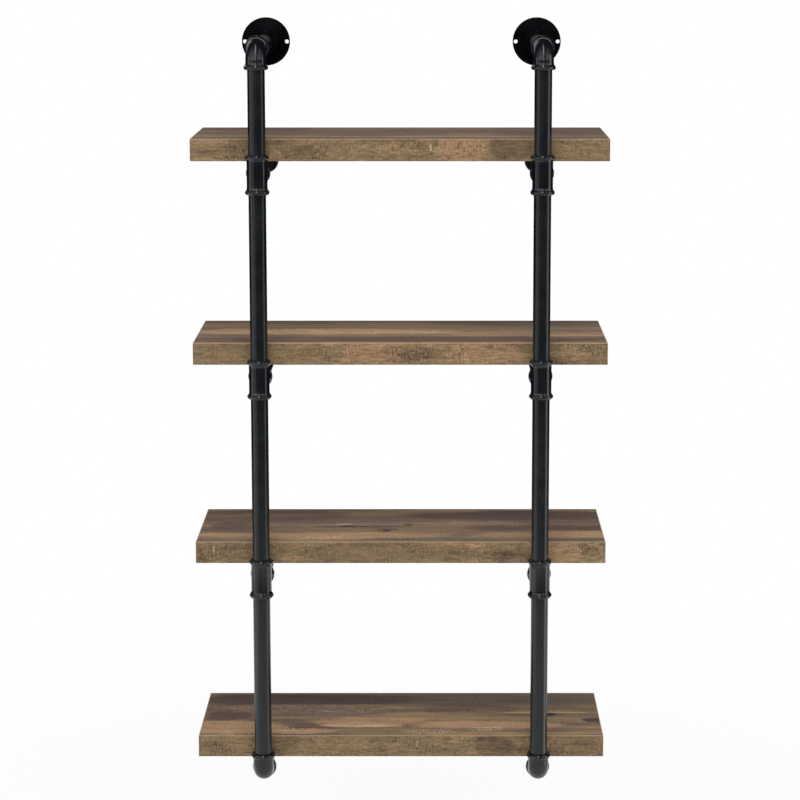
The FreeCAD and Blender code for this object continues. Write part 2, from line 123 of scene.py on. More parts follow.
def level(name, description, value, unit="NONE"):
    """A property that holds a level of light."""
    return FloatProperty(name=name, description=description, default=value, min=0, unit=unit)


class WallShelfSizes(bpy.types.PropertyGroup):
    """Sizes of the cast fittings and the screws."""

    wall: length("Wall", "Wall of a fitting round its socket", 2.2)
    fit: length("Fit", "Radial play of a tube in its socket", 0.1)
    socket: length("Socket", "Depth of a socket", 12)
    bevel: length("Bevel", "Bevel of a socket's mouth", 0.6)
    bead_width: length("Bead width", "Width of the bead round an outlet", 6.5)
    bead_foot: length("Bead foot", "Rise of the bead's foot over the body", 0.9)
    flare: length("Flare", "Length over which a body flares to its bead", 4.5)
    lip: length("Lip", "Rounding of the bead's edge at the mouth", 0.5)
    branch_step: length("Branch step", "By how much a tee's branch is slimmer than its run", 0.4)
    crotch: length("Crotch", "Reach of the blend between a tee's branch and its run", 3.2)
    throat: length("Throat", "Radius of the inner side of an elbow's bend", 3)
    disc: length("Disc", "Thickness of a wall flange's disc", 4.5)
    rim: length("Rim", "Rounding of a wall flange's rim", 1.4)
    root: length("Root", "Rounding where a wall flange's hub meets its disc", 2.5)
    hole_inset: length("Hole inset", "From a flange's rim to the centres of its holes", 4.5)
    hole_r: length("Hole radius", "Radius of the flange's holes", 3)
    cap_end: length("Cap end", "Rounding of a wall cap's closed end", 2)
    screw_recess: length("Recess", "Depth of the cross recess in a screw's head", 1.4)
    screw_slot: length("Slot", "Width of the cross recess in a screw's head", 1.1)


class WallShelfColours(bpy.types.PropertyGroup):
    """Colours of the metal and of the laminate."""

    coat: colour("Coat", "Powder coat of the tubes", 6, 11, 13)
    casting: colour("Casting", "Black coat of the cast fittings", 9, 11, 15)
    disc: colour("Disc", "Gloss black of the wall flanges", 2, 3, 5)
    screw: colour("Screw", "Black oxide of the screws", 20, 20, 22)
    plum: colour("Plum", "Darkest stripes of the laminate", 92, 71, 61)
    mauve: colour("Mauve", "Greyish stripes of the laminate", 108, 91, 78)
    olive: colour("Olive", "Olive brown of the laminate", 128, 108, 80)
    tan: colour("Tan", "Warm light stripes of the laminate", 166, 133, 100)
    # Cream is the laminate's pale ticks and lines, and also the painted highlight along the edging's top
    # corner
    cream: colour("Cream", "Pale ticks in the laminate", 200, 174, 138)
    crack: colour("Crack", "Cracks and knots in the laminate", 58, 44, 50)
    peach: colour("Peach", "Warm patches of the edging", 154, 124, 94)
    umber: colour("Umber", "Dark patches of the edging", 98, 80, 62)


class WallShelfLight(bpy.types.PropertyGroup):
    """Levels of the lamps and of the surroundings, and the turn of the screws."""

    key: level("Key", "Power of the lamp above the front", 92, "POWER")
    side: level("Side", "Power of a side lamp a metre wide", 8.5, "POWER")
    sky: level("Sky", "Level of the surroundings", 0.35)
    panels: level("Panels", "Level of the panels the metal mirrors", 8)
    floor_drop: length("Floor drop", "From the part down to the floor", 250)
    seed: IntProperty(name="Seed", description="How the screws' heads are turned", default=3, min=0)


def sizes():
    """The sizes in use."""
    return bpy.context.scene.wall_shelf_sizes


def colours():
    """The colours in use."""
    return bpy.context.scene.wall_shelf_colours


def tone_of(name):
    """A colour in use, by its name."""
    return tuple(getattr(colours(), name))


def light():
    """The light levels in use."""
    return bpy.context.scene.wall_shelf_light


# Node trees

VECTOR = "NodeSocketVector"
GEOMETRY = "NodeSocketGeometry"
MATERIAL = "NodeSocketMaterial"
SHADER_TREE = "ShaderNodeTree"
GEOMETRY_TREE = "GeometryNodeTree"


def floats(*names):
    """Group sockets that each hold a number."""
    return dict.fromkeys(names, "NodeSocketFloat")


def typed(sockets, kind):
    """The sockets of one type."""
    return [socket for socket in sockets if socket.type == kind]


class Net:
    """The nodes of a tree, added and wired to one another."""

    def __init__(self, tree):
        self.tree = tree

    def node(self, kind, sockets=None, **settings):
        """Add a node with its settings, then wire or set its inputs by name or number."""
        node = self.tree.nodes.new(kind)
        for key, value in settings.items():
            setattr(node, key, value)
        for key, value in (sockets or {}).items():
            self.feed(node.inputs[key], value)
        return node

    def out(self, kind, sockets=None, output=0, **settings):
        """Add a node and return one of its outputs."""
        return self.node(kind, sockets, **settings).outputs[output]

    def feed(self, socket, value):
        """Wire an output or several to an input, or set the input."""
        if isinstance(value, list):
            for item in value:
                self.tree.links.new(item, socket)
        elif isinstance(value, bpy.types.NodeSocket):
            self.tree.links.new(value, socket)
        elif socket.type == "RGBA" and len(value) == 3:
            socket.default_value = (*value, 1)
        else:
            socket.default_value = value

    def maths(self, operation, first, second=0.0, third=0.0, clamp=False):
        """Result of a sum on one to three values."""
        sockets = {0: first, 1: second, 2: third}
        return self.out("ShaderNodeMath", sockets, operation=operation, use_clamp=clamp)

    def times(self, first, second, clamp=False):
        """Product of two values."""
        return self.maths("MULTIPLY", first, second, clamp=clamp)

    def times_plus(self, first, second, third):
        """Product of two values, and a third added."""
        return self.maths("MULTIPLY_ADD", first, second, third)

    def plus(self, first, second):
        """Sum of two values."""
        return self.maths("ADD", first, second)

    def minus(self, first, second):
        """First value less the second."""
        return self.maths("SUBTRACT", first, second)

    def larger(self, first, second):
        """The larger of two values."""
        return self.maths("MAXIMUM", first, second)

    def span(self, value, low, high, to_low=0.0, to_high=1.0, smooth=False):
        """Value taken from one range to another, held at its ends."""
        node = self.node("ShaderNodeMapRange", interpolation_type="SMOOTHSTEP" if smooth else "LINEAR")
        for socket, item in zip(node.inputs, (value, low, high, to_low, to_high)):
            self.feed(socket, item)
        return node.outputs[0]

    def vector(self, x=0.0, y=0.0, z=0.0):
        """A vector of three values."""
        return self.out("ShaderNodeCombineXYZ", {"X": x, "Y": y, "Z": z})

    def parts(self, vector):
        """The X, Y and Z of a vector."""
        return self.node("ShaderNodeSeparateXYZ", {"Vector": vector}).outputs

    def place(self):
        """Object coordinates of the piece."""
        return self.out("ShaderNodeTexCoord", output="Object")

    def noise(self, vector, scale, detail, roughness=0.5):
        """Cloudy values."""
        sockets = {"Vector": vector, "Scale": scale, "Detail": detail, "Roughness": roughness}
        return self.out("ShaderNodeTexNoise", sockets, "Fac", normalize=True)

    def mix(self, share, first, second, blend="MIX"):
        """Two colours mixed by a share."""
        node = self.node("ShaderNodeMix", {0: share}, data_type="RGBA", blend_type=blend, clamp_factor=True)
        for socket, value in zip(typed(node.inputs, "RGBA"), (first, second)):
            self.feed(socket, value)
        return typed(node.outputs, "RGBA")[0]

    def grey(self, value):
        """A grey of a value."""
        return self.out("ShaderNodeCombineColor", {"Red": value, "Green": value, "Blue": value})

    def ramp(self, value, tones):
        """A colour that runs through (place, tone) stops along a value."""
        node = self.node("ShaderNodeValToRGB", {"Fac": value})
        elements = node.color_ramp.elements
        while len(elements) < len(tones):
            elements.new(0.5)
        for element, (place, tone) in zip(elements, tones):
            element.position = place
            element.color = (*tone, 1)
        return node.outputs["Color"]

    def moved(self, geometry, **sockets):
        """Geometry with a translation or a rotation."""
        return self.out("GeometryNodeTransform", {"Geometry": geometry, **sockets})

    def turn(self, angles):
        """A rotation by three angles."""
        return self.out("FunctionNodeEulerToRotation", {"Euler": angles})

    def coated(self, geometry, finish):
        """Geometry with its instances made real and with a material."""
        real = self.out("GeometryNodeRealizeInstances", {"Geometry": geometry})
        return self.out("GeometryNodeSetMaterial", {"Geometry": real, "Material": finish})

    def group(self, make, sockets):
        """Place a node group by the function that makes it and return its outputs by name."""
        kind = "ShaderNodeGroup" if self.tree.bl_idname == SHADER_TREE else "GeometryNodeGroup"
        return self.node(kind, sockets, node_tree=kept_group(make)).outputs

    def give(self, values):
        """Wire the outputs of the tree, a node group, and return it."""
        self.node("NodeGroupOutput", values)
        return self.tree


def new_group(name, kind, inputs, outputs):
    """The net of a new node group with named sockets, and what comes in by them."""
    tree = bpy.data.node_groups.new(name, kind)
    for in_out, rows in (("INPUT", inputs), ("OUTPUT", outputs)):
        for socket_name, socket_type in rows.items():
            tree.interface.new_socket(socket_name, in_out=in_out, socket_type=socket_type)
    net = Net(tree)
    return net, net.node("NodeGroupInput").outputs


def kept_group(make):
    """The node group that a function makes, called as the function is and made only once."""
    name = make.__name__.replace("_", " ").title()
    return bpy.data.node_groups.get(name) or make(name)


def drawn_lines(name):
    """Noise drawn out along X into lines, from 0 to 1."""
    inputs = {"Vector": VECTOR, **floats("Along", "Across", "Detail", "Seed")}
    net, given = new_group(name, SHADER_TREE, inputs, floats("Value"))
    place = net.parts(given["Vector"])
    x = net.times(place["X"], given["Along"])
    y = net.times(place["Y"], given["Across"])
    noise = net.noise(net.vector(x, y, given["Seed"]), 1.0, given["Detail"], 0.55)
    return net.give({"Value": net.span(noise, 0.28, 0.72)})


def lined(net, vector, along, across, detail, seed):
    """Lines drawn out along the X of a vector, by their number to a metre along and across."""
    sockets = {"Vector": vector, "Along": along, "Across": across, "Detail": detail, "Seed": seed}
    return net.group(drawn_lines, sockets)["Value"]


def placed_stain(name):
    """A stretched patch with a ragged outline and streaked ends: its mask from 0 to 1."""
    shape = floats("From", "To", "Middle", "Half Breadth", "Waver", "Softness", "Seed")
    net, given = new_group(name, SHADER_TREE, {"Vector": VECTOR, **shape}, floats("Mask"))
    place = net.parts(given["Vector"])

    def swing(along, across):
        """Lines that swing to both sides of nothing."""
        return net.minus(lined(net, given["Vector"], along, across, 3.0, given["Seed"]), 0.5)

    bends = net.times_plus(swing(240.0, 50.0), 0.5, swing(12.0, 45.0))
    across = net.times_plus(bends, given["Waver"], place["Y"])
    across = net.maths("ABSOLUTE", net.minus(across, given["Middle"]))
    across = net.maths("DIVIDE", across, given["Half Breadth"])
    half = net.times(net.minus(given["To"], given["From"]), 0.5)
    centre = net.times(net.plus(given["To"], given["From"]), 0.5)
    along = net.times_plus(swing(8.0, 260.0), net.times(half, 0.35), place["X"])
    along = net.maths("ABSOLUTE", net.minus(along, centre))
    along = net.maths("POWER", net.maths("DIVIDE", along, half), 3.0)
    reach = net.plus(along, net.maths("POWER", across, 2.0))
    low = net.minus(1.0, given["Softness"])
    high = net.times_plus(given["Softness"], 0.4, 1.0)
    return net.give({"Mask": net.span(reach, low, high, 1.0, 0.0, smooth=True)})


def laminate_grain(name):
    """Grain, saw marks, rows of ticks and wavy lines of the laminate, each from 0 to 1, and their height."""
    values = floats("Seed", "Figure", "Streak", "Cut", "Wave Pitch", "Wave Swing", "Wave Along")
    outputs = floats("Grain", "Saw", "Ticks", "Waves", "Height")
    net, given = new_group(name, SHADER_TREE, {"Vector": VECTOR, **values}, outputs)
    vector = given["Vector"]

    def drawn(along, across, detail, through=vector):
        """Lines of this laminate."""
        return lined(net, through, along, across, detail, given["Seed"])

    place = net.parts(vector)
    swell = net.times(net.minus(drawn(9.0, 22.0, 2.0), 0.5), given["Figure"])
    bowed = net.vector(place["X"], net.plus(place["Y"], swell))
    fine = drawn(given["Streak"], 430.0, 3.0, bowed)
    grain = net.times_plus(fine, 0.7, net.times(drawn(5.0, 130.0, 2.0, bowed), 0.3))
    patches = net.span(drawn(24.0, 40.0, 2.0), 0.3, 0.8, 0.45, 1.1, smooth=True)
    drift = net.times(drawn(45.0, 20.0, 2.0), 3.0)
    teeth = net.maths("PINGPONG", net.times_plus(place["X"], 210.0, drift), 0.5)
    teeth = net.times(net.span(teeth, 0.06, 0.3, 1.0, 0.0), drawn(90.0, given["Cut"], 3.0))
    cuts = net.span(drawn(380.0, given["Cut"], 2.0), 0.45, 0.95)
    saw = net.times(net.larger(teeth, cuts), patches, clamp=True)
    ticks = net.span(drawn(420.0, 260.0, 0.0), 0.6, 0.9)
    bend = drawn(given["Wave Along"], 28.0, 2.0)
    phase = net.times_plus(bend, given["Wave Swing"], net.times(place["Y"], given["Wave Pitch"]))
    bold = net.span(net.maths("PINGPONG", phase, 0.5), 0.02, 0.15, 0.9, 0.0)
    thin = net.maths("PINGPONG", net.times(phase, 2.3), 0.5)
    waves = net.larger(bold, net.span(thin, 0.02, 0.22, 0.5, 0.0))
    waves = net.times(waves, net.span(fine, 0.3, 0.62))
    height = net.minus(grain, net.times(saw, 0.8))
    return net.give({"Grain": grain, "Saw": saw, "Ticks": ticks, "Waves": waves, "Height": height})


# Specks and clouds of a sprayed coat, per metre
SPECKS, CLOUDS = 2600.0, 38.0


def coat_swell(name):
    """Fine swell of a sprayed coat: its height and its spread of gloss."""
    inputs = {"Vector": VECTOR, **floats("Scale", "Speck")}
    net, given = new_group(name, SHADER_TREE, inputs, floats("Height", "Spread"))
    vector = given["Vector"]
    specks = net.out("ShaderNodeTexVoronoi", {"Vector": vector, "Scale": SPECKS}, "Distance")
    specks = net.times(net.span(specks, 0.12, 0.0), given["Speck"])
    height = net.plus(net.noise(vector, given["Scale"], 2.0), specks)
    spread = net.span(net.noise(vector, CLOUDS, 4.0, 0.6), 0.3, 0.7, -1.0, 1.0)
    return net.give({"Height": height, "Spread": spread})


# Materials


def cleared(block):
    """The empty net of a new material or world."""
    block.use_nodes = True
    block.node_tree.nodes.clear()
    return Net(block.node_tree)


def new_material(name):
    """A material and its empty net."""
    material = bpy.data.materials.new(name)
    return material, cleared(material)


def principled(net, tone, roughness, specular, **sockets):
    """A principled shader by its colour, roughness and specular level."""
    values = {"Base Color": tone, "Roughness": roughness, "Specular IOR Level": specular, **sockets}
    return net.out("ShaderNodeBsdfPrincipled", values)


def surface(net, tone, roughness, specular, height, depth, strength):
    """End a material in a principled shader with a fine relief."""
    relief = net.out("ShaderNodeBump", {"Strength": strength, "Distance": depth, "Height": height})
    shader = principled(net, tone, roughness, specular, Normal=relief)
    net.node("ShaderNodeOutputMaterial", {"Surface": shader})


# How many times lighter a coat gets in places, what is added there, and by how much its roughness spreads
LIGHTER, LIFT, GLOSS_SPREAD = 1.5, 0.002, 0.03
# Finishes of the metal: property of the colour, roughness, specular level, scale and depth of the swell,
# and its specks
METAL_FINISHES = {
    "cast_black": ("casting", 0.17, 0.5, 420.0, 0.012 * MM, 0.3),
    "powder_coat_black": ("coat", 0.25, 0.5, 900.0, 0.02 * MM, 0.2),
    "flange_gloss_black": ("disc", 0.16, 0.05, 300.0, 0.02 * MM, 0.1),
    "screw_black_oxide": ("screw", 0.4, 0.5, 1500.0, 0.01 * MM, 0.5),
}


def metal(name):
    """One of the black finishes of the metal, made when it is first asked for."""
    if name in bpy.data.materials:
        return bpy.data.materials[name]
    tone_name, roughness, specular, scale, depth, speck = METAL_FINISHES[name]
    tone = tone_of(tone_name)
    lighter = tuple(min(1.0, step * LIGHTER + LIFT) for step in tone)
    material, net = new_material(name)
    coat = net.group(coat_swell, {"Vector": net.place(), "Scale": scale, "Speck": speck})
    tone = net.mix(net.span(coat["Spread"], -1.0, 1.0), tone, lighter)
    roughness = net.times_plus(coat["Spread"], GLOSS_SPREAD, roughness)
    surface(net, tone, roughness, specular, coat["Height"], depth, 1.0)
    return material


# Mesh making

ANGLES = [2 * math.pi * i / RING_STEPS for i in range(RING_STEPS)]
# Turns that point a piece with its mouth up out of the wall, and that set an elbow on its head
OUT_OF_WALL = Matrix.Rotation(math.radians(90), 4, "X")
UPSIDE_DOWN = Matrix.Rotation(math.radians(180), 4, "Y")


def arc(start, end, rise):
    """Points after start up to end, on an arc that rises to the left of the way by a signed height."""
    first, last = Vector(start), Vector(end)
    chord = last - first
    half = chord.length / 2
    radius = (half * half + rise * rise) / (2 * abs(rise))
    left = Vector((-chord.y, chord.x)).normalized()
    centre = (first + last) / 2 + left * (rise - math.copysign(radius, rise))
    turn = -math.copysign(2 * math.asin(min(1.0, half / radius)), rise)
    spoke = first - centre
    turns = [Matrix.Rotation(turn * (i + 1) / ARC_STEPS, 2) for i in range(ARC_STEPS)]
    return [tuple(centre + matrix @ spoke) for matrix in turns]


def body_radius():
    """Radius of a fitting's body."""
    return TUBE_R + sizes().fit + sizes().wall


def outlet(reach, body_r):
    """Stations (radius, distance) from a socket's floor, over the mouth and the bead, to the body."""
    s = sizes()
    socket_r = TUBE_R + s.fit
    foot_r = body_radius() + s.bead_foot
    crown = BEAD_R - foot_r
    bead_start = reach - s.bead_width
    stations = [(0.0, reach - s.socket), (socket_r, reach - s.socket), (socket_r, reach - s.bevel)]
    stations += [(socket_r + s.bevel, reach), (foot_r - s.lip, reach)]
    stations += arc(stations[-1], (foot_r, reach - s.lip), s.lip * QUARTER_RISE)
    stations += arc(stations[-1], (foot_r, bead_start), crown)
    stations += arc(stations[-1], (body_r, bead_start - s.flare), -FLARE_SAG)
    return stations


def ring(shell, radius, height, lying=False):
    """Vertices round Z, or round Y where the piece is lying; a single one where the radius is 0."""
    angles = ANGLES if radius else ANGLES[:1]
    corners = [(radius * math.cos(angle), radius * math.sin(angle)) for angle in angles]
    return [shell.verts.new((x, height, y) if lying else (x, y, height)) for x, y in corners]


def skinned(shell, rings):
    """A closed skin over rings of vertices that start and end in single ones."""
    for low, high in zip(rings, rings[1:]):
        for i in range(RING_STEPS):
            below = [low[i % len(low)], low[(i + 1) % len(low)]]
            above = [high[(i + 1) % len(high)], high[i % len(high)]]
            shell.faces.new(list(dict.fromkeys(below + above)))
    bmesh.ops.recalc_face_normals(shell, faces=shell.faces)
    return shell


def turned(stations):
    """A closed shell turned about Z from stations (radius, height) that start and end on the axis."""
    shell = bmesh.new()
    return skinned(shell, [ring(shell, *station) for station in stations])


def in_scene(name, data):
    """A new object in the scene."""
    made = bpy.data.objects.new(name, data)
    bpy.context.scene.collection.objects.link(made)
    return made


def to_object(shell, name):
    """An object in the scene from a bmesh."""
    mesh = bpy.data.meshes.new(name)
    shell.to_mesh(mesh)
    shell.free()
    return in_scene(name, mesh)


def applied(made):
    """Mesh of an object with its modifiers applied; the object is removed."""
    bpy.context.view_layer.update()
    evaluated = made.evaluated_get(bpy.context.evaluated_depsgraph_get())
    mesh = bpy.data.meshes.new_from_object(evaluated)
    if not mesh.polygons:
        raise RuntimeError(made.name + " came out empty")
    bpy.data.objects.remove(made)
    return mesh


def smoothed(mesh):
    """Smooth shading that breaks at sharp edges."""
    shell = bmesh.new()
    shell.from_mesh(mesh)
    bmesh.ops.remove_doubles(shell, verts=shell.verts, dist=MERGE_DISTANCE)
    shell.to_mesh(mesh)
    shell.free()
    mesh.shade_smooth()
    mesh.set_sharp_from_angle(angle=SHARP_ANGLE)
    return mesh


def joined(target, tool, operation):
    """Mesh of two objects joined or cut from one another; both are removed."""
    modifier = target.modifiers.new(operation.lower(), "BOOLEAN")
    modifier.operation = operation
    modifier.solver = "EXACT"
    modifier.object = tool
    mesh = smoothed(applied(target))
    bpy.data.objects.remove(tool)
    return mesh


def grown(name, make, values):
    """Mesh that a geometry group gives with the values of its inputs."""
    holder = to_object(bmesh.new(), name)
    tree = kept_group(make)
    modifier = holder.modifiers.new(tree.name, "NODES")
    modifier.node_group = tree
    for item in tree.interface.items_tree:
        if item.in_out == "INPUT" and item.name in values:
            modifier[item.identifier] = values[item.name]
    return applied(holder)


def put(mesh, node, ending, place, finish):
    """Put a copy of a mesh in its place as the finished piece that stands for a CAD node."""
    copy = mesh.copy()
    copy.transform(place)
    copy.materials.clear()
    copy.materials.append(metal(finish))
    piece = in_scene(node + ending, copy)
    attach(piece, BODY)
    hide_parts(node)


def middle_of(node):
    """Middle of a CAD node's box."""
    low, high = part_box(node)
    return (low + high) / 2


def on_wall(node):
    """Place of a piece with its back at the wall, facing out of it, where a CAD node is."""
    middle = middle_of(node)
    return Matrix.Translation((middle.x, 0, middle.z)) @ OUT_OF_WALL


def on_post(node, height):
    """Place of a fitting's centre on the line of the posts, where a CAD node is."""
    return Matrix.Translation((middle_of(node).x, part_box(node)[0].y + BEAD_R, height))


# Tees

# Widest that the blend's foot gets, as a share of the run's radius, and how deep it lies in the run
ROOT_SHARE, ROOT_DEPTH = 0.995, 0.12 * MM
# Least lean that is divided by, where the foot lies along the run
LEAST_LEAN = 1e-6


def tee_run():
    """The tee's upright run with a socket at each end."""
    top = outlet(TEE_REACH, body_radius())
    bottom = [(radius, -height) for radius, height in reversed(top)]
    return to_object(turned(top + bottom), "tee_run")


def tee_branch():
    """The tee's branch along +Y, with a root that runs out into the upright run."""
    branch_r = body_radius() - sizes().branch_step
    shell = bmesh.new()
    rings = [ring(shell, 0.0, 0.0, lying=True)]
    for step in range(ARC_STEPS + 1):
        points = [root_point(angle, step / ARC_STEPS, body_radius(), branch_r) for angle in ANGLES]
        rings.append([shell.verts.new(point) for point in points])
    for radius, height in reversed(outlet(TEE_REACH, branch_r)):
        rings.append(ring(shell, radius, height, lying=True))
    return to_object(skinned(shell, rings), "tee_branch")


def root_point(angle, share, run_r, branch_r):
    """A point of the blend from the run (share 0) to the branch (share 1), at an angle round the branch."""
    blend = sizes().crotch
    lean = abs(math.cos(angle))
    foot_s = min(branch_r + blend, ROOT_SHARE * run_r / max(lean, LEAST_LEAN))
    foot_y = math.sqrt(run_r**2 - (foot_s * lean) ** 2) - ROOT_DEPTH
    corner_y = math.sqrt(run_r**2 - (branch_r * lean) ** 2)
    top_y = corner_y + blend
    ways = ((1 - share) ** 2, 2 * share * (1 - share), share**2)
    radius = ways[0] * foot_s + ways[1] * branch_r + ways[2] * branch_r
    height = ways[0] * foot_y + ways[1] * corner_y + ways[2] * top_y
    return radius * math.cos(angle), height, radius * math.sin(angle)


class WALLSHELF_OT_cast_tees(bpy.types.Operator):
    """Make the cast tees and put them where the frame's tees are"""

    bl_idname = "wall_shelf.cast_tees"
    bl_label = "Cast Tees"

    def execute(self, context):
        branch = tee_branch()
        mesh = joined(tee_run(), branch, "UNION")
        for side in SIDES:
            for shelf in SHELVES[:-1]:
                node = "%s_tee_%d" % (side, shelf)
                put(mesh, node, "_cast", on_post(node, middle_of(node).z), "cast_black")
        return {"FINISHED"}


# Elbows


def socket_cutter(name):
    """A socket's hollow along -Z from its mouth at the origin, with the mouth's bevel."""
    inputs = {**floats("Radius", "Depth", "Bevel"), "Position": VECTOR, "Rotation": VECTOR}
    net, given = new_group(name, GEOMETRY_TREE, inputs, {"Geometry": GEOMETRY})
    radius, depth, bevel = given["Radius"], given["Depth"], given["Bevel"]
    sockets = {"Vertices": RING_STEPS, "Radius": radius, "Depth": depth}
    hollow = net.out("GeometryNodeMeshCylinder", sockets, "Mesh")
    hollow = net.moved(hollow, Translation=net.vector(z=net.times(depth, -0.5)))
    sockets = {
        "Vertices": RING_STEPS,
        "Radius Top": net.times_plus(bevel, 2.0, radius),
        "Radius Bottom": radius,
        "Depth": net.times(bevel, 2.0),
    }
    cone = net.out("GeometryNodeMeshCone", sockets, "Mesh")
    cone = net.moved(cone, Translation=net.vector(z=net.times(bevel, -1.0)))
    sockets = {"Mesh 2": [hollow, cone]}
    union = net.out("GeometryNodeMeshBoolean", sockets, operation="UNION", solver="MANIFOLD")
    placed = net.moved(union, Translation=given["Position"], Rotation=net.turn(given["Rotation"]))
    return net.give({"Geometry": placed})


# How full the bead's crown is, and where its flare has lost two thirds of its height
CROWN_POWER, FLARE_KNEE = 0.8, 0.4


def bead_profile(node, body_share, foot_share, flare_share):
    """Set a curve node to a bead's outline from the mouth, in shares of its radius and its stretch."""
    curve = node.mapping.curves[0]
    bead_share = 1 - flare_share
    points = [(0.0, foot_share)]
    for step in range(1, ARC_STEPS):
        share = step / ARC_STEPS
        crown = (1 - foot_share) * math.sin(math.pi * share) ** CROWN_POWER
        points.append((bead_share * share, foot_share + crown))
    knee = (bead_share + flare_share * FLARE_KNEE, (foot_share + 2 * body_share) / 3)
    points += [(bead_share, foot_share), knee, (1.0, body_share)]
    curve.points[0].location = points[0]
    curve.points[1].location = points[-1]
    for place in points[1:-1]:
        curve.points.new(*place)
    for point in curve.points:
        point.handle_type = "AUTO_CLAMPED"
    node.mapping.update()


def cast_elbow(name):
    """A cast elbow from its mouth at +Y to the one at -Z: a skin swept round the bend, with its sockets."""
    s = sizes()
    lengths = ("Reach", "Bend", "Bead Radius", "Bead Stretch", "Socket Radius", "Socket Depth", "Mouth Bevel")
    inputs = {"Geometry": GEOMETRY, **floats(*lengths), "Finish": MATERIAL}
    net, given = new_group(name, GEOMETRY_TREE, inputs, {"Geometry": GEOMETRY})
    back = net.vector(y=given["Reach"])
    down = net.vector(z=net.times(given["Reach"], -1.0))
    line = net.out("GeometryNodeCurvePrimitiveLine", {"Start": back, "End": down})
    path = net.out("GeometryNodeResampleCurve", {"Curve": line, "Count": 3}, mode="COUNT")
    is_corner = net.node("FunctionNodeCompare", data_type="INT", operation="EQUAL")
    for socket, value in zip(typed(is_corner.inputs, "INT"), (net.out("GeometryNodeInputIndex"), 1)):
        net.feed(socket, value)
    sockets = {"Geometry": path, "Selection": is_corner.outputs[0], "Position": net.vector()}
    path = net.out("GeometryNodeSetPosition", sockets)
    sockets = {"Curve": path, "Radius": given["Bend"], "Count": BEND_STEPS, "Limit Radius": True}
    path = net.out("GeometryNodeFilletCurve", sockets, mode="POLY")
    path = net.out("GeometryNodeResampleCurve", {"Curve": path, "Length": PATH_STEP}, mode="LENGTH")
    parameter = net.out("GeometryNodeSplineParameter", output="Length")
    whole = net.out("GeometryNodeSplineLength", output="Length")
    nearest = net.maths("MINIMUM", parameter, net.minus(whole, parameter))
    share = net.maths("DIVIDE", nearest, given["Bead Stretch"], clamp=True)
    profile = net.node("ShaderNodeFloatCurve", {"Value": share})
    foot_r = body_radius() + s.bead_foot
    bead_profile(profile, body_radius() / BEAD_R, foot_r / BEAD_R, s.flare / (s.bead_width + s.flare))
    radius = net.times(profile.outputs[0], given["Bead Radius"])
    path = net.out("GeometryNodeSetCurveRadius", {"Curve": path, "Radius": radius})
    circle = net.out("GeometryNodeCurvePrimitiveCircle", {"Resolution": RING_STEPS, "Radius": 1.0})
    sweep = net.node("GeometryNodeCurveToMesh", {"Curve": path, "Profile Curve": circle, "Fill Caps": True})
    if "Scale" in sweep.inputs:
        net.feed(sweep.inputs["Scale"], radius)
    shared = {"Radius": given["Socket Radius"], "Depth": given["Socket Depth"], "Bevel": given["Mouth Bevel"]}
    mouths = ((back, -math.pi / 2), (down, math.pi))
    hollows = [
        net.group(socket_cutter, {**shared, "Position": mouth, "Rotation": (turn, 0.0, 0.0)})["Geometry"]
        for mouth, turn in mouths
    ]
    sockets = {"Mesh 1": sweep.outputs[0], "Mesh 2": hollows}
    cut = net.out("GeometryNodeMeshBoolean", sockets, operation="DIFFERENCE", solver="MANIFOLD")
    return net.give({"Geometry": net.coated(cut, given["Finish"])})


class WALLSHELF_OT_cast_elbows(bpy.types.Operator):
    """Make the cast elbows and put them at the top and the bottom of each post"""

    bl_idname = "wall_shelf.cast_elbows"
    bl_label = "Cast Elbows"

    def execute(self, context):
        s = sizes()
        values = {
            "Reach": ELBOW_REACH,
            "Bend": body_radius() + s.throat,
            "Bead Radius": BEAD_R,
            "Bead Stretch": s.bead_width + s.flare,
            "Socket Radius": TUBE_R + s.fit,
            "Socket Depth": s.socket,
            "Mouth Bevel": s.bevel,
            "Finish": metal("cast_black"),
        }
        mesh = smoothed(grown("elbow_holder", cast_elbow, values))
        for side in SIDES:
            top, bottom = side + "_top_elbow", side + "_bottom_elbow"
            put(mesh, top, "_cast", on_post(top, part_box(top)[1].z - BEAD_R), "cast_black")
            place = on_post(bottom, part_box(bottom)[0].z + BEAD_R) @ UPSIDE_DOWN
            put(mesh, bottom, "_cast", place, "cast_black")
        return {"FINISHED"}


# Wall flanges and caps


def flange_stations():
    """Outline of a wall flange from its back, over the disc, to the hub's socket."""
    s = sizes()
    body_r = body_radius()
    stations = [(0.0, 0.0), (FLANGE_R - BACK_EDGE, 0.0), (FLANGE_R, BACK_EDGE), (FLANGE_R, s.disc - s.rim)]
    stations += arc(stations[-1], (FLANGE_R - s.rim, s.disc), -s.rim * QUARTER_RISE)
    stations.append((body_r + s.root, s.disc))
    stations += arc(stations[-1], (body_r, s.disc + s.root), s.root * QUARTER_RISE)
    bead_start = FLANGE_REACH - s.bead_width
    hub = reversed(outlet(FLANGE_REACH, body_r))
    return stations + [(r, height) for r, height in hub if height >= bead_start or r < body_r - MM]


class WALLSHELF_OT_turn_flanges(bpy.types.Operator):
    """Make the two wall flanges with their holes"""

    bl_idname = "wall_shelf.turn_flanges"
    bl_label = "Turn Flanges"

    def execute(self, context):
        s = sizes()
        drills = bmesh.new()
        drill = {"segments": RING_STEPS // 2, "radius1": s.hole_r, "radius2": s.hole_r, "depth": 2 * s.disc}
        for sign in (-1, 1):
            place = Matrix.Translation((sign * (FLANGE_R - s.hole_inset), 0, s.disc / 2))
            bmesh.ops.create_cone(drills, cap_ends=True, matrix=place, **drill)
        disc = to_object(turned(flange_stations()), "flange_disc")
        mesh = joined(disc, to_object(drills, "flange_drills"), "DIFFERENCE")
        for side in SIDES:
            node = side + "_wall_flange"
            put(mesh, node, "_turned", on_wall(node), "flange_gloss_black")
        return {"FINISHED"}


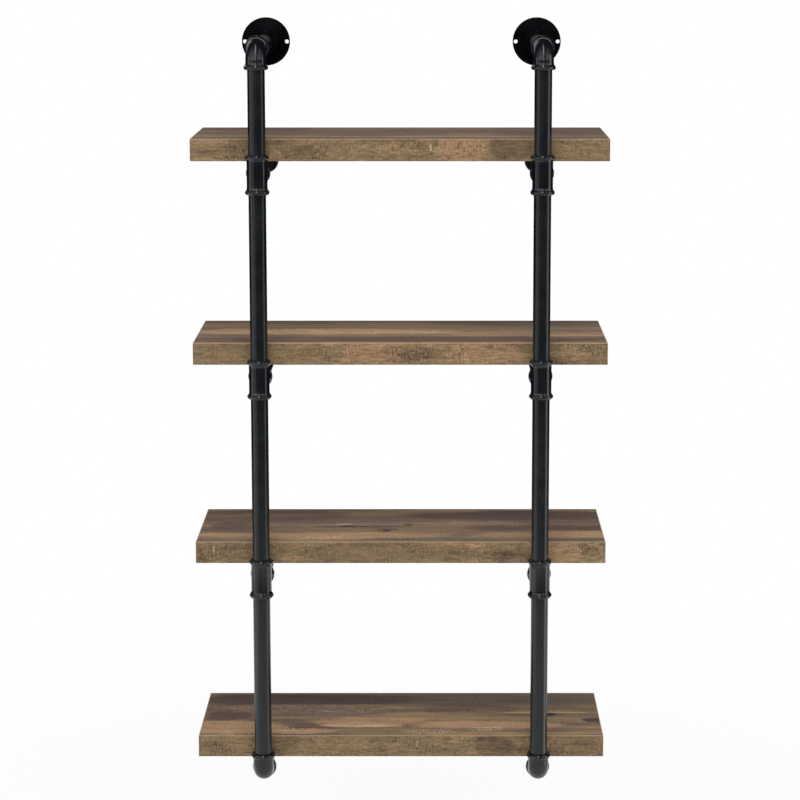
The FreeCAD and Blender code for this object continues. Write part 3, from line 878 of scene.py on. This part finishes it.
def cap_stations():
    """Outline of a wall cap from its closed end to its socket."""
    body_r = body_radius()
    rounding = sizes().cap_end
    stations = [(0.0, 0.0), (body_r - rounding, 0.0)]
    stations += arc(stations[-1], (body_r, rounding), -rounding * QUARTER_RISE)
    return stations + list(reversed(outlet(CAP_REACH, body_r)))


class WALLSHELF_OT_turn_caps(bpy.types.Operator):
    """Make the caps that close the wall ends of the bars"""

    bl_idname = "wall_shelf.turn_caps"
    bl_label = "Turn Caps"

    def execute(self, context):
        mesh = smoothed(applied(to_object(turned(cap_stations()), "cap")))
        for side in SIDES:
            for shelf in SHELVES:
                node = "%s_wall_cap_%d" % (side, shelf)
                put(mesh, node, "_turned", on_wall(node), "cast_black")
        return {"FINISHED"}


# Tubes


class WALLSHELF_OT_coat_tubes(bpy.types.Operator):
    """Give the posts, arms and bars their powder coat"""

    bl_idname = "wall_shelf.coat_tubes"
    bl_label = "Coat Tubes"

    def execute(self, context):
        for name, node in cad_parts.items():
            if "_post_" in name or "_arm" in name or "_bar_" in name:
                node.material_slots[0].material = metal("powder_coat_black")
        return {"FINISHED"}


# Screws

# Shares of a screw head's radius: shank, flat crown, rise of its rounding and spread of the recess
SHANK, CROWN, DOME, RECESS = 0.47, 0.55, 0.1, 1.15
# Share of the head's height that is upright at its rim, and share of the shank before its point
HEAD_RIM, SHANK_END = 0.25, 0.9


def screw_mesh(head_height):
    """One pan-head screw with a cross recess, its head's underside at the origin and its point up."""
    s = sizes()
    low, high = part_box("shelf_1_screws")
    reach = high.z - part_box("left_bar_1")[0].z
    head_r = middle_of("left_bar_1").x - low.x
    shank_r = head_r * SHANK
    stations = [(0.0, -head_height), (head_r * CROWN, -head_height)]
    stations += arc(stations[-1], (head_r, -head_height * HEAD_RIM), -head_r * DOME)
    stations += [(head_r, 0.0), (shank_r, 0.0), (shank_r, reach * SHANK_END), (0.0, reach)]
    screw = to_object(turned(stations), "screw")
    recess = to_object(cross_bar(head_r * RECESS, s.screw_slot, s.screw_recess - head_height), "recess")
    return joined(screw, recess, "DIFFERENCE")


def cross_bar(spread, breadth, top):
    """A bar with a cross for its section, from well below the origin up to a height."""
    near, far = breadth / 2, spread / 2
    arm = [(near, -near), (far, -near), (far, near)]
    outline = [Matrix.Rotation(math.pi / 2 * turn, 2) @ Vector(point) for turn in range(4) for point in arm]
    shell = bmesh.new()
    foot = [shell.verts.new((*point, -2 * spread)) for point in outline]
    head = [shell.verts.new((*point, top)) for point in outline]
    shell.faces.new(foot)
    shell.faces.new(head)
    for i, vert in enumerate(foot):
        after = (i + 1) % len(foot)
        shell.faces.new((vert, foot[after], head[after], head[i]))
    bmesh.ops.recalc_face_normals(shell, faces=shell.faces)
    return shell


def board_screws(name):
    """Four copies of a screw at the corners of a rectangle, each turned by its own angle."""
    inputs = {"Geometry": GEOMETRY, "Screw": "NodeSocketObject", **floats("Spread X", "Spread Y")}
    inputs.update({"Centre": VECTOR, "Seed": "NodeSocketInt", "Finish": MATERIAL})
    net, given = new_group(name, GEOMETRY_TREE, inputs, {"Geometry": GEOMETRY})
    spread = {"Size X": given["Spread X"], "Size Y": given["Spread Y"], "Vertices X": 2, "Vertices Y": 2}
    corners = net.moved(net.out("GeometryNodeMeshGrid", spread, "Mesh"), Translation=given["Centre"])
    angle = net.node("FunctionNodeRandomValue", {"Seed": given["Seed"]}, data_type="FLOAT")
    typed(angle.inputs, "VALUE")[1].default_value = math.pi
    spin = net.turn(net.vector(z=typed(angle.outputs, "VALUE")[0]))
    screw = net.out("GeometryNodeObjectInfo", {"Object": given["Screw"]}, "Geometry")
    copies = {"Points": corners, "Instance": screw, "Rotation": spin}
    copies = net.out("GeometryNodeInstanceOnPoints", copies)
    return net.give({"Geometry": net.coated(copies, given["Finish"])})


class WALLSHELF_OT_drive_screws(bpy.types.Operator):
    """Make the screws that hold each board down on its bars"""

    bl_idname = "wall_shelf.drive_screws"
    bl_label = "Drive Screws"

    def execute(self, context):
        head_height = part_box("left_bar_1")[0].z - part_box("shelf_1_screws")[0].z
        screw = in_scene("one_screw", screw_mesh(head_height))
        spread_x = middle_of("right_bar_1").x - middle_of("left_bar_1").x
        for shelf in SHELVES:
            node = "shelf_%d_screws" % shelf
            low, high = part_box(node)
            head_breadth = high.x - low.x - spread_x
            values = {
                "Screw": screw,
                "Spread X": spread_x,
                "Spread Y": high.y - low.y - head_breadth,
                "Centre": (0.0, middle_of(node).y, low.z + head_height),
                "Seed": light().seed + shelf,
                "Finish": metal("screw_black_oxide"),
            }
            mesh = grown("screw_holder", board_screws, values)
            put(mesh, node, "_pan_head", Matrix.Identity(4), "screw_black_oxide")
        bpy.data.objects.remove(screw)
        return {"FINISHED"}


# Laminate

# Kinds of marks in the laminate: colour, output of the grain group that draws it, and softness of its outline
MARK_KINDS = {
    "plum": ("plum", None, 0.5),
    "mauve": ("mauve", None, 0.6),
    "olive": ("olive", None, 0.6),
    "tan": ("tan", None, 0.55),
    "lens": ("tan", None, 0.3),
    "crack": ("crack", None, 0.4),
    "peach": ("peach", None, 0.4),
    "umber": ("umber", None, 0.5),
    "ticks": ("cream", "Ticks", 0.5),
    "waves": ("cream", "Waves", 0.6),
    "line": ("cream", None, 0.4),
    "wavy": ("umber", "Waves", 0.4),
    "hatch": ("crack", "Saw", 0.5),
}
# Marks by shelf: kind, then where each starts and ends along the board from its left end, its middle across
# the board from the front edge or up from the underside, its half breadth and its strength, all as shares
TOP_MARK_SHARES = {
    1: [
        ("plum", -0.1, 1.1, 0.84, 0.26, 0.9),
        ("mauve", 0.26, 0.5, 0.86, 0.16, 0.9),
        ("waves", 0.45, 0.95, 0.86, 0.1, 0.6),
        ("plum", -0.1, 1.1, 0.46, 0.2, 0.8),
        ("olive", -0.1, 0.4, 0.36, 0.06, 0.5),
        ("mauve", 0.45, 1.1, 0.34, 0.06, 0.6),
        ("ticks", 0.6, 0.75, 0.4, 0.05, 0.8),
        ("plum", -0.1, 1.1, 0.06, 0.12, 0.6),
    ],
    2: [
        ("olive", -0.1, 1.1, 0.8, 0.18, 0.9),
        ("plum", -0.1, 1.1, 1.0, 0.045, 0.9),
        ("plum", 0.1, 0.34, 0.88, 0.05, 0.6),
        ("plum", 0.55, 1.1, 0.9, 0.09, 0.7),
        ("mauve", 0.62, 1.1, 0.78, 0.1, 0.8),
        ("tan", -0.1, 0.62, 0.5, 0.13, 0.85),
        ("tan", 0.6, 1.1, 0.4, 0.12, 0.5),
        ("ticks", 0.02, 0.22, 0.44, 0.05, 0.8),
        ("waves", 0.22, 0.36, 0.46, 0.11, 1.0),
        ("ticks", 0.35, 0.66, 0.47, 0.07, 0.9),
        ("lens", 0.84, 0.99, 0.34, 0.05, 0.8),
        ("plum", -0.1, 1.1, 0.17, 0.1, 0.95),
        ("mauve", 0.1, 0.35, 0.15, 0.06, 0.6),
        ("tan", -0.1, 1.1, 0.0, 0.04, 0.7),
    ],
    3: [
        ("mauve", -0.1, 1.1, 0.55, 0.25, 0.6),
        ("olive", -0.1, 1.1, 1.0, 0.05, 0.8),
        ("plum", -0.1, 0.4, 0.8, 0.14, 0.65),
        ("olive", 0.38, 0.52, 0.86, 0.08, 0.6),
        ("plum", 0.5, 1.1, 0.8, 0.15, 1.0),
        ("plum", 0.02, 0.13, 0.47, 0.13, 0.7),
        ("olive", 0.14, 0.7, 0.36, 0.1, 0.7),
        ("mauve", 0.68, 1.1, 0.6, 0.045, 1.0),
        ("waves", 0.55, 0.8, 0.56, 0.05, 0.9),
        ("plum", 0.64, 1.1, 0.42, 0.09, 1.0),
        ("line", 0.33, 0.38, 0.53, 0.012, 0.8),
        ("crack", 0.27, 0.54, 0.45, 0.018, 0.9),
        ("crack", 0.345, 0.39, 0.45, 0.03, 0.8),
        ("crack", 0.435, 0.495, 0.35, 0.055, 0.45),
        ("crack", 0.452, 0.474, 0.33, 0.03, 0.9),
        ("crack", 0.505, 0.53, 0.5, 0.03, 0.8),
        ("tan", -0.1, 0.62, 0.19, 0.1, 0.8),
        ("lens", 0.26, 0.46, 0.15, 0.07, 0.7),
        ("tan", 0.66, 1.1, 0.2, 0.08, 0.5),
        ("ticks", 0.24, 0.36, 0.12, 0.05, 1.0),
        ("mauve", -0.1, 0.24, 0.05, 0.08, 0.6),
    ],
    4: [
        ("olive", -0.1, 1.1, 1.0, 0.06, 0.9),
        ("plum", -0.1, 0.6, 0.84, 0.13, 1.0),
        ("mauve", 0.5, 1.1, 0.8, 0.13, 0.8),
        ("mauve", -0.1, 0.52, 0.56, 0.15, 0.9),
        ("waves", 0.03, 0.52, 0.62, 0.11, 0.95),
        ("plum", 0.0, 0.13, 0.46, 0.1, 0.9),
        ("plum", 0.55, 0.8, 0.6, 0.14, 0.5),
        ("olive", 0.55, 1.1, 0.42, 0.16, 0.6),
        ("tan", -0.1, 0.22, 0.18, 0.16, 0.85),
        ("ticks", 0.02, 0.2, 0.15, 0.14, 0.3),
        ("tan", 0.26, 0.56, 0.32, 0.1, 0.7),
        ("lens", 0.29, 0.52, 0.24, 0.07, 1.0),
        ("line", 0.3, 0.48, 0.22, 0.04, 0.45),
        ("olive", 0.3, 0.62, 0.09, 0.08, 0.9),
        ("lens", 0.16, 0.34, 0.1, 0.05, 0.8),
        ("ticks", 0.18, 0.24, 0.13, 0.05, 1.0),
        ("tan", 0.52, 0.92, 0.24, 0.09, 0.9),
        ("ticks", 0.5, 0.64, 0.08, 0.05, 0.9),
        ("ticks", 0.67, 0.76, 0.15, 0.05, 1.0),
        ("line", 0.74, 0.98, 0.53, 0.012, 0.6),
        ("crack", 0.72, 0.93, 0.47, 0.015, 0.7),
        ("crack", 0.86, 0.895, 0.47, 0.045, 1.0),
        ("crack", 0.955, 1.02, 0.35, 0.06, 0.85),
    ],
}
EDGE_MARK_SHARES = {
    1: [
        ("hatch", 0.05, 0.16, 0.5, 0.6, 0.6),
        ("umber", 0.21, 0.3, 0.6, 0.6, 0.4),
        ("hatch", 0.25, 0.33, 0.4, 0.5, 0.5),
        ("hatch", 0.5, 0.56, 0.5, 0.5, 0.5),
        ("line", 0.571, 0.576, 0.62, 0.16, 0.7),
        ("peach", 0.58, 0.71, 0.5, 0.6, 0.8),
        ("umber", 0.71, 0.82, 0.6, 0.6, 0.8),
        ("wavy", 0.71, 1.1, 0.5, 0.8, 0.6),
    ],
    2: [
        ("olive", -0.1, 0.36, 0.5, 0.8, 0.7),
        ("wavy", -0.1, 0.16, 0.5, 0.8, 1.0),
        ("peach", 0.355, 0.5, 0.5, 0.8, 0.8),
        ("hatch", 0.46, 0.58, 0.5, 0.7, 0.5),
        ("peach", 0.6, 0.8, 0.5, 0.5, 0.7),
        ("hatch", 0.85, 0.98, 0.5, 0.6, 0.4),
    ],
    3: [
        ("hatch", -0.1, 0.22, 0.5, 0.7, 0.4),
        ("line", 0.04, 0.045, 0.65, 0.16, 0.7),
        ("olive", 0.25, 0.64, 0.5, 0.8, 0.6),
        ("wavy", 0.27, 0.62, 0.5, 0.8, 0.9),
        ("peach", 0.82, 0.95, 0.5, 0.5, 0.8),
        ("hatch", 0.93, 1.1, 0.5, 0.7, 0.5),
    ],
    4: [
        ("hatch", 0.03, 0.08, 0.5, 0.6, 0.6),
        ("peach", 0.06, 0.14, 0.6, 0.4, 0.5),
        ("olive", 0.2, 0.6, 0.5, 0.8, 0.6),
        ("hatch", 0.44, 0.5, 0.5, 0.6, 0.5),
        ("line", 0.537, 0.543, 0.6, 0.18, 0.8),
        ("hatch", 0.5, 0.62, 0.4, 0.6, 0.4),
        ("umber", 0.68, 0.78, 0.5, 0.6, 0.7),
        ("wavy", 0.88, 1.1, 0.5, 0.8, 0.9),
    ],
}
FIGURE_SEEDS = {1: 11.0, 2: 27.0, 3: 43.0, 4: 61.0}
# How the top and the edging are drawn: values of the grain, run and pitch of the stripes, their tones by
# share, and depths of the grain and of the saw marks
TOP_LOOK = {
    "grain": (8 * MM, 18.0, 45.0, 120.0, 2.2, 42.0),
    "stripes": (2.2, 34.0),
    "tones": ((0.1, "plum"), (0.36, "mauve"), (0.58, "olive"), (0.95, "tan")),
    "depths": (0.22, 0.26),
}
EDGE_LOOK = {
    "grain": (14 * MM, 75.0, 190.0, 260.0, 7.0, 9.0),
    "stripes": (14.0, 60.0),
    "tones": ((0.05, "umber"), (0.45, "olive"), (0.6, "olive"), (0.95, "peach")),
    "depths": (0.36, 0.45),
}
GRAIN_VALUES = ("Figure", "Streak", "Cut", "Wave Pitch", "Wave Swing", "Wave Along")
# Painted highlight along the edging's top corner, a pale line where its rounded edge catches the light: where
# it starts and is full, below the top, and its strength
CORNER_HIGHLIGHT_START, CORNER_HIGHLIGHT_FULL, CORNER_HIGHLIGHT_STRENGTH = 0.9 * MM, 0.5 * MM, 0.65
# Seeds added for the stripes and for the ends of a board
STRIPE_SEED, END_SEED = 5.0, 100.0
# Gloss of the laminate, its roughness from the hollows to the heights of the grain, and its emboss
LAMINATE_SPECULAR = 0.25
DULL, GLOSSY = 0.66, 0.52
EMBOSS_DEPTH, EMBOSS_STRENGTH = 0.15 * MM, 0.5
# How much lighter the laminate is between saw marks, as a share of their depth
SAW_LIFT = 0.4
# Most that a mark's outline wavers, as a share of the board
MOST_WAVER = 0.06


def marked(net, tone, grain, vector, rows, span, depth, start, seed):
    """A colour with its placed marks, which are shares of a span and of a depth from its start."""
    for number, (kind, low, high, middle, half, strength) in enumerate(rows):
        name, drawn, softness = MARK_KINDS[kind]
        sockets = {
            "Vector": vector,
            "From": low * span,
            "To": high * span,
            "Middle": start + middle * depth,
            "Half Breadth": half * depth,
            "Waver": min(half, MOST_WAVER) * depth,
            "Softness": softness,
            "Seed": seed + number,
        }
        mask = net.times(net.group(placed_stain, sockets)["Mask"], strength)
        if drawn:
            mask = net.times(mask, grain[drawn])
        tone = net.mix(mask, tone, tone_of(name))
    return tone


def grained(net, tone, grain, grain_depth, saw_depth):
    """A colour darkened by the grain and the saw marks."""
    dark = net.span(grain["Grain"], 0.2, 0.8, 1.0 - grain_depth, 1.0 + grain_depth)
    sawn = net.span(grain["Saw"], 0.0, 1.0, 1.0 + saw_depth * SAW_LIFT, 1.0 - saw_depth)
    return net.mix(1.0, tone, net.grey(net.times(dark, sawn)), blend="MULTIPLY")


def board_coordinates(net, along, across, up):
    """Object coordinates from a board's left front corner: along the grain, then across it."""
    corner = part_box("shelf_1_board")[0]
    sockets = {0: net.place(), 1: (-corner.x, -corner.y, 0.0)}
    parts = net.parts(net.out("ShaderNodeVectorMath", sockets, operation="ADD"))
    return net.vector(parts[along], parts[across], parts[up])


def laminate(name, shelf, axes, seed, look, marks=None):
    """Laminate of a board: stripes with placed marks, grain and saw marks, and a painted highlight along an
    edging's top corner.
    """
    board_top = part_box("shelf_%d_board" % shelf)[1].z
    material, net = new_material(name)
    vector = board_coordinates(net, *axes)
    values = dict(zip(GRAIN_VALUES, look["grain"]))
    grain = net.group(laminate_grain, {"Vector": vector, "Seed": seed, **values})
    along, across = look["stripes"]
    stripes = lined(net, vector, along, across, 3.0, seed + STRIPE_SEED)
    tone = net.ramp(stripes, [(place, tone_of(name)) for place, name in look["tones"]])
    if marks:
        tone = marked(net, tone, grain, vector, *marks, seed)
    tone = grained(net, tone, grain, *look["depths"])
    # Painted highlight: the edging's top corner is mixed towards cream, as if its rounded edge caught the
    # light
    if look is EDGE_LOOK:
        height = net.parts(vector)["Y"]
        corner = net.span(height, board_top - CORNER_HIGHLIGHT_START, board_top - CORNER_HIGHLIGHT_FULL, 0.0, CORNER_HIGHLIGHT_STRENGTH)
        tone = net.mix(corner, tone, tone_of("cream"))
    roughness = net.span(grain["Grain"], 0.0, 1.0, DULL, GLOSSY)
    surface(net, tone, roughness, LAMINATE_SPECULAR, grain["Height"], EMBOSS_DEPTH, EMBOSS_STRENGTH)
    return material


class WALLSHELF_OT_finish_boards(bpy.types.Operator):
    """Give the boards and their edging their laminate"""

    bl_idname = "wall_shelf.finish_boards"
    bl_label = "Finish Boards"

    def execute(self, context):
        for shelf in SHELVES:
            low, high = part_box("shelf_%d_board" % shelf)
            seed = FIGURE_SEEDS[shelf]
            marks = (TOP_MARK_SHARES[shelf], high.x - low.x, high.y - low.y, 0.0)
            top = laminate("laminate_top_%d" % shelf, shelf, "XYZ", seed, TOP_LOOK, marks)
            marks = (EDGE_MARK_SHARES[shelf], high.x - low.x, high.z - low.z, low.z)
            band = laminate("edge_band_x_%d" % shelf, shelf, "XZY", seed, EDGE_LOOK, marks)
            end = laminate("edge_band_y_%d" % shelf, shelf, "YZX", seed + END_SEED, EDGE_LOOK)
            finishes = {"board": top, "front_edging": band, "back_edging": band, "end_edgings": end}
            for piece, finish in finishes.items():
                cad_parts["shelf_%d_%s" % (shelf, piece)].material_slots[0].material = finish
        return {"FINISHED"}


# Stage

CAMERA_PLACE = (39.44 * MM, -3763.54 * MM, 165.04 * MM)
CAMERA_PITCH = math.radians(-9.25)
CAMERA_LENS = 112.2
CAMERA_SHIFT = (-0.0345, -0.08)
FLOOR_RADIUS = 2.4
FLOOR_TONES = (srgb(236, 236, 236), srgb(248, 248, 248))
FLOOR_ROUGHNESS, FLOOR_SPECULAR = 0.85, 0.1
# The lamp above the front: place and size in metres
KEY_PLACE, KEY_SIZE = (0.0, -2.0, 2.3), (2.6, 1.4)
# Height of the side lamps and how far their middle lies below the part's
SIDE_HEIGHT, SIDE_DROP = 1.7, 0.1
# Side lamps: place in metres, depth that they aim at, width and share of the power of a metre
SIDE_LAMPS = (
    ("left", -1.3, -0.35, -0.23, 0.35, 0.9),
    ("left_soft", -1.25, -1.05, -0.23, 1.0, 0.35),
    ("right", 0.85, -0.33, -0.23, 0.28, 1.2),
)
WHITE = (1.0, 1.0, 1.0)
# Tones that the metal mirrors from ahead and above, in stripes from the left to the right
PANEL_STOPS = [
    (0.10, (0.12, 0.12, 0.13)),
    (0.30, (0.28, 0.24, 0.30)),
    (0.42, (0.10, 0.09, 0.11)),
    (0.46, (0.34, 0.35, 0.37)),
    (0.485, (0.55, 0.56, 0.58)),
    (0.50, (0.35, 0.36, 0.38)),
    (0.57, (0.03, 0.03, 0.03)),
    (0.68, (0.03, 0.03, 0.03)),
    (0.74, (0.20, 0.21, 0.22)),
    (0.95, (0.10, 0.10, 0.10)),
]


def seen_white(net):
    """Share of white for the rays that see the background, and whether a ray is a mirrored one."""
    path = net.node("ShaderNodeLightPath").outputs
    return net.larger(path["Is Camera Ray"], path["Is Transmission Ray"]), path["Is Glossy Ray"]


# A mirrored ray's direction has a length of 1. Its parts point right (X), away from the eye (Y) and up (Z)


def mirrored_white(net, towards):
    """Where the pieces mirror white: behind the part, and to its left."""
    left = net.span(towards["X"], -0.3, -0.45, smooth=True)
    left = net.times(left, net.span(towards["Y"], 0.45, 0.65, smooth=True))
    behind = net.larger(left, net.span(towards["Y"], 0.8, 0.97, 0.0, 0.65, smooth=True))
    return net.times(behind, net.span(towards["Z"], 0.08, 0.24, smooth=True))


def mirrored_studio(net, towards, sky):
    """What the pieces mirror elsewhere: a dim floor below, and panels with a strip ahead and above."""
    strength = light().panels
    ahead = net.span(towards["Y"], 0.2, -0.5, smooth=True)
    low = net.span(towards["Z"], 0.0, -0.35, sky * 0.04, sky * 0.45)
    low = net.times_plus(low, ahead, sky * 0.03)
    panels = net.ramp(net.times_plus(towards["X"], 0.5, 0.5), PANEL_STOPS)
    rise = net.times(net.span(towards["Z"], 0.0, 0.15, smooth=True), strength)
    rise = net.times(rise, net.span(towards["Z"], 0.25, 0.9, 1.0, 0.12))
    high = net.times(rise, ahead)
    strip = net.maths("ABSOLUTE", net.plus(towards["X"], 0.03))
    strip = net.times(net.span(strip, 0.12, 0.03), net.span(towards["Z"], 0.45, 0.7, 0.0, 1.8))
    high = net.times_plus(net.times(strip, ahead), strength, high)
    bright = net.mix(1.0, panels, net.grey(high), blend="MULTIPLY")
    return net.mix(1.0, net.grey(low), bright, blend="ADD")


def set_world():
    """Surroundings that look white, light the part at a plain level and give the metal what it mirrors."""
    sky = light().sky
    world = bpy.data.worlds.new("studio")
    net = cleared(world)
    direct, glossy = seen_white(net)
    towards = net.parts(net.out("ShaderNodeTexCoord", output="Generated"))
    white = net.larger(direct, net.times(glossy, mirrored_white(net, towards)))
    tone = net.mix(glossy, (sky, sky, sky), mirrored_studio(net, towards, sky))
    tone = net.mix(white, tone, WHITE)
    background = net.out("ShaderNodeBackground", {"Color": tone, "Strength": 1.0})
    net.node("ShaderNodeOutputWorld", {"Surface": background})
    bpy.context.scene.world = world


def floor_material():
    """Pale floor that looks white but keeps the part's shadow near the part, and clear from below."""
    material, net = new_material("pale_floor")
    place = net.place()
    tone = net.mix(net.noise(place, 180.0, 3.0), *FLOOR_TONES)
    shader = principled(net, tone, FLOOR_ROUGHNESS, FLOOR_SPECULAR)
    direct, glossy = seen_white(net)
    mirrored = net.times(glossy, net.span(net.parts(place)["Y"], -0.2, 0.4, 0.1, 1.0))
    far = net.out("ShaderNodeVectorMath", {0: place}, "Value", operation="LENGTH")
    shown = net.times(direct, net.span(far, 0.5, 1.8, 0.94, 1.0, smooth=True))
    share = net.larger(shown, net.times(mirrored, 0.9))
    glow = net.out("ShaderNodeEmission", {"Color": WHITE, "Strength": 1.0})
    both = net.out("ShaderNodeMixShader", {0: share, 1: shader, 2: glow})
    below = net.out("ShaderNodeNewGeometry", output="Backfacing")
    both = net.out("ShaderNodeMixShader", {0: below, 1: both, 2: net.out("ShaderNodeBsdfTransparent")})
    net.node("ShaderNodeOutputMaterial", {"Surface": both})
    return material


def add_floor():
    """A round pale floor under the part."""
    disc = bmesh.new()
    bmesh.ops.create_circle(disc, cap_ends=True, segments=RING_STEPS, radius=FLOOR_RADIUS)
    floor = to_object(disc, "floor")
    floor.location = (0, 0, CAD_BOX[0].z - light().floor_drop)
    floor.data.materials.append(floor_material())


def add_lamp(name, place, target, size, power, mirrored=True):
    """A soft rectangular lamp that faces a target and that the metal mirrors, or doesn't."""
    data = bpy.data.lights.new(name, "AREA")
    data.shape = "RECTANGLE"
    data.size, data.size_y = size
    data.energy = power
    lamp = in_scene(name, data)
    lamp.location = place
    lamp.rotation_euler = (Vector(target) - Vector(place)).to_track_quat("-Z", "Y").to_euler()
    lamp.visible_glossy = mirrored


def add_camera():
    """The camera at the photograph's angle."""
    data = bpy.data.cameras.new("camera")
    data.lens = CAMERA_LENS
    data.shift_x, data.shift_y = CAMERA_SHIFT
    camera = in_scene("camera", data)
    camera.location = CAMERA_PLACE
    camera.rotation_euler = (math.pi / 2 + CAMERA_PITCH, 0, 0)
    bpy.context.scene.camera = camera


class WALLSHELF_OT_set_stage(bpy.types.Operator):
    """Set up the camera, the floor, the lamps and the white surroundings"""

    bl_idname = "wall_shelf.set_stage"
    bl_label = "Set Stage"

    def execute(self, context):
        context.scene.view_settings.view_transform = "Standard"
        centre = (CAD_BOX[0] + CAD_BOX[1]) / 2
        add_camera()
        set_world()
        add_floor()
        add_lamp("key", KEY_PLACE, centre, KEY_SIZE, light().key, mirrored=False)
        for name, x, y, aim, width, share in SIDE_LAMPS:
            place = Vector((x, y, centre.z - SIDE_DROP))
            power = light().side * width * share
            add_lamp("side_" + name, place, (0, aim, place.z), (width, SIDE_HEIGHT), power)
        return {"FINISHED"}


class WALLSHELF_PT_panel(bpy.types.Panel):
    """Sizes, colours and steps of the wall shelf"""

    bl_idname = "WALLSHELF_PT_panel"
    bl_label = "Wall Shelf"
    bl_space_type = "VIEW_3D"
    bl_region_type = "UI"
    bl_category = "Wall Shelf"

    def draw(self, context):
        for group in (sizes(), colours(), light()):
            box = self.layout.box()
            for name in group.__annotations__:
                box.prop(group, name)
        for operator in OPERATORS:
            self.layout.operator(operator.bl_idname)


OPERATORS = (
    WALLSHELF_OT_set_stage,
    WALLSHELF_OT_coat_tubes,
    WALLSHELF_OT_cast_tees,
    WALLSHELF_OT_cast_elbows,
    WALLSHELF_OT_turn_flanges,
    WALLSHELF_OT_turn_caps,
    WALLSHELF_OT_drive_screws,
    WALLSHELF_OT_finish_boards,
)
CLASSES = (WallShelfSizes, WallShelfColours, WallShelfLight, *OPERATORS, WALLSHELF_PT_panel)


def register():
    """Register the classes and their settings on the scene."""
    for item in CLASSES:
        bpy.utils.register_class(item)
    bpy.types.Scene.wall_shelf_sizes = PointerProperty(type=WallShelfSizes)
    bpy.types.Scene.wall_shelf_colours = PointerProperty(type=WallShelfColours)
    bpy.types.Scene.wall_shelf_light = PointerProperty(type=WallShelfLight)


def unregister():
    """Take the settings and the classes away."""
    del bpy.types.Scene.wall_shelf_light
    del bpy.types.Scene.wall_shelf_colours
    del bpy.types.Scene.wall_shelf_sizes
    for item in reversed(CLASSES):
        bpy.utils.unregister_class(item)


def main():
    """Make every piece and the stage."""
    register()
    bpy.ops.wall_shelf.set_stage()
    bpy.ops.wall_shelf.coat_tubes()
    bpy.ops.wall_shelf.cast_tees()
    bpy.ops.wall_shelf.cast_elbows()
    bpy.ops.wall_shelf.turn_flanges()
    bpy.ops.wall_shelf.turn_caps()
    bpy.ops.wall_shelf.drive_screws()
    bpy.ops.wall_shelf.finish_boards()


if __name__ == "__main__":
    main()
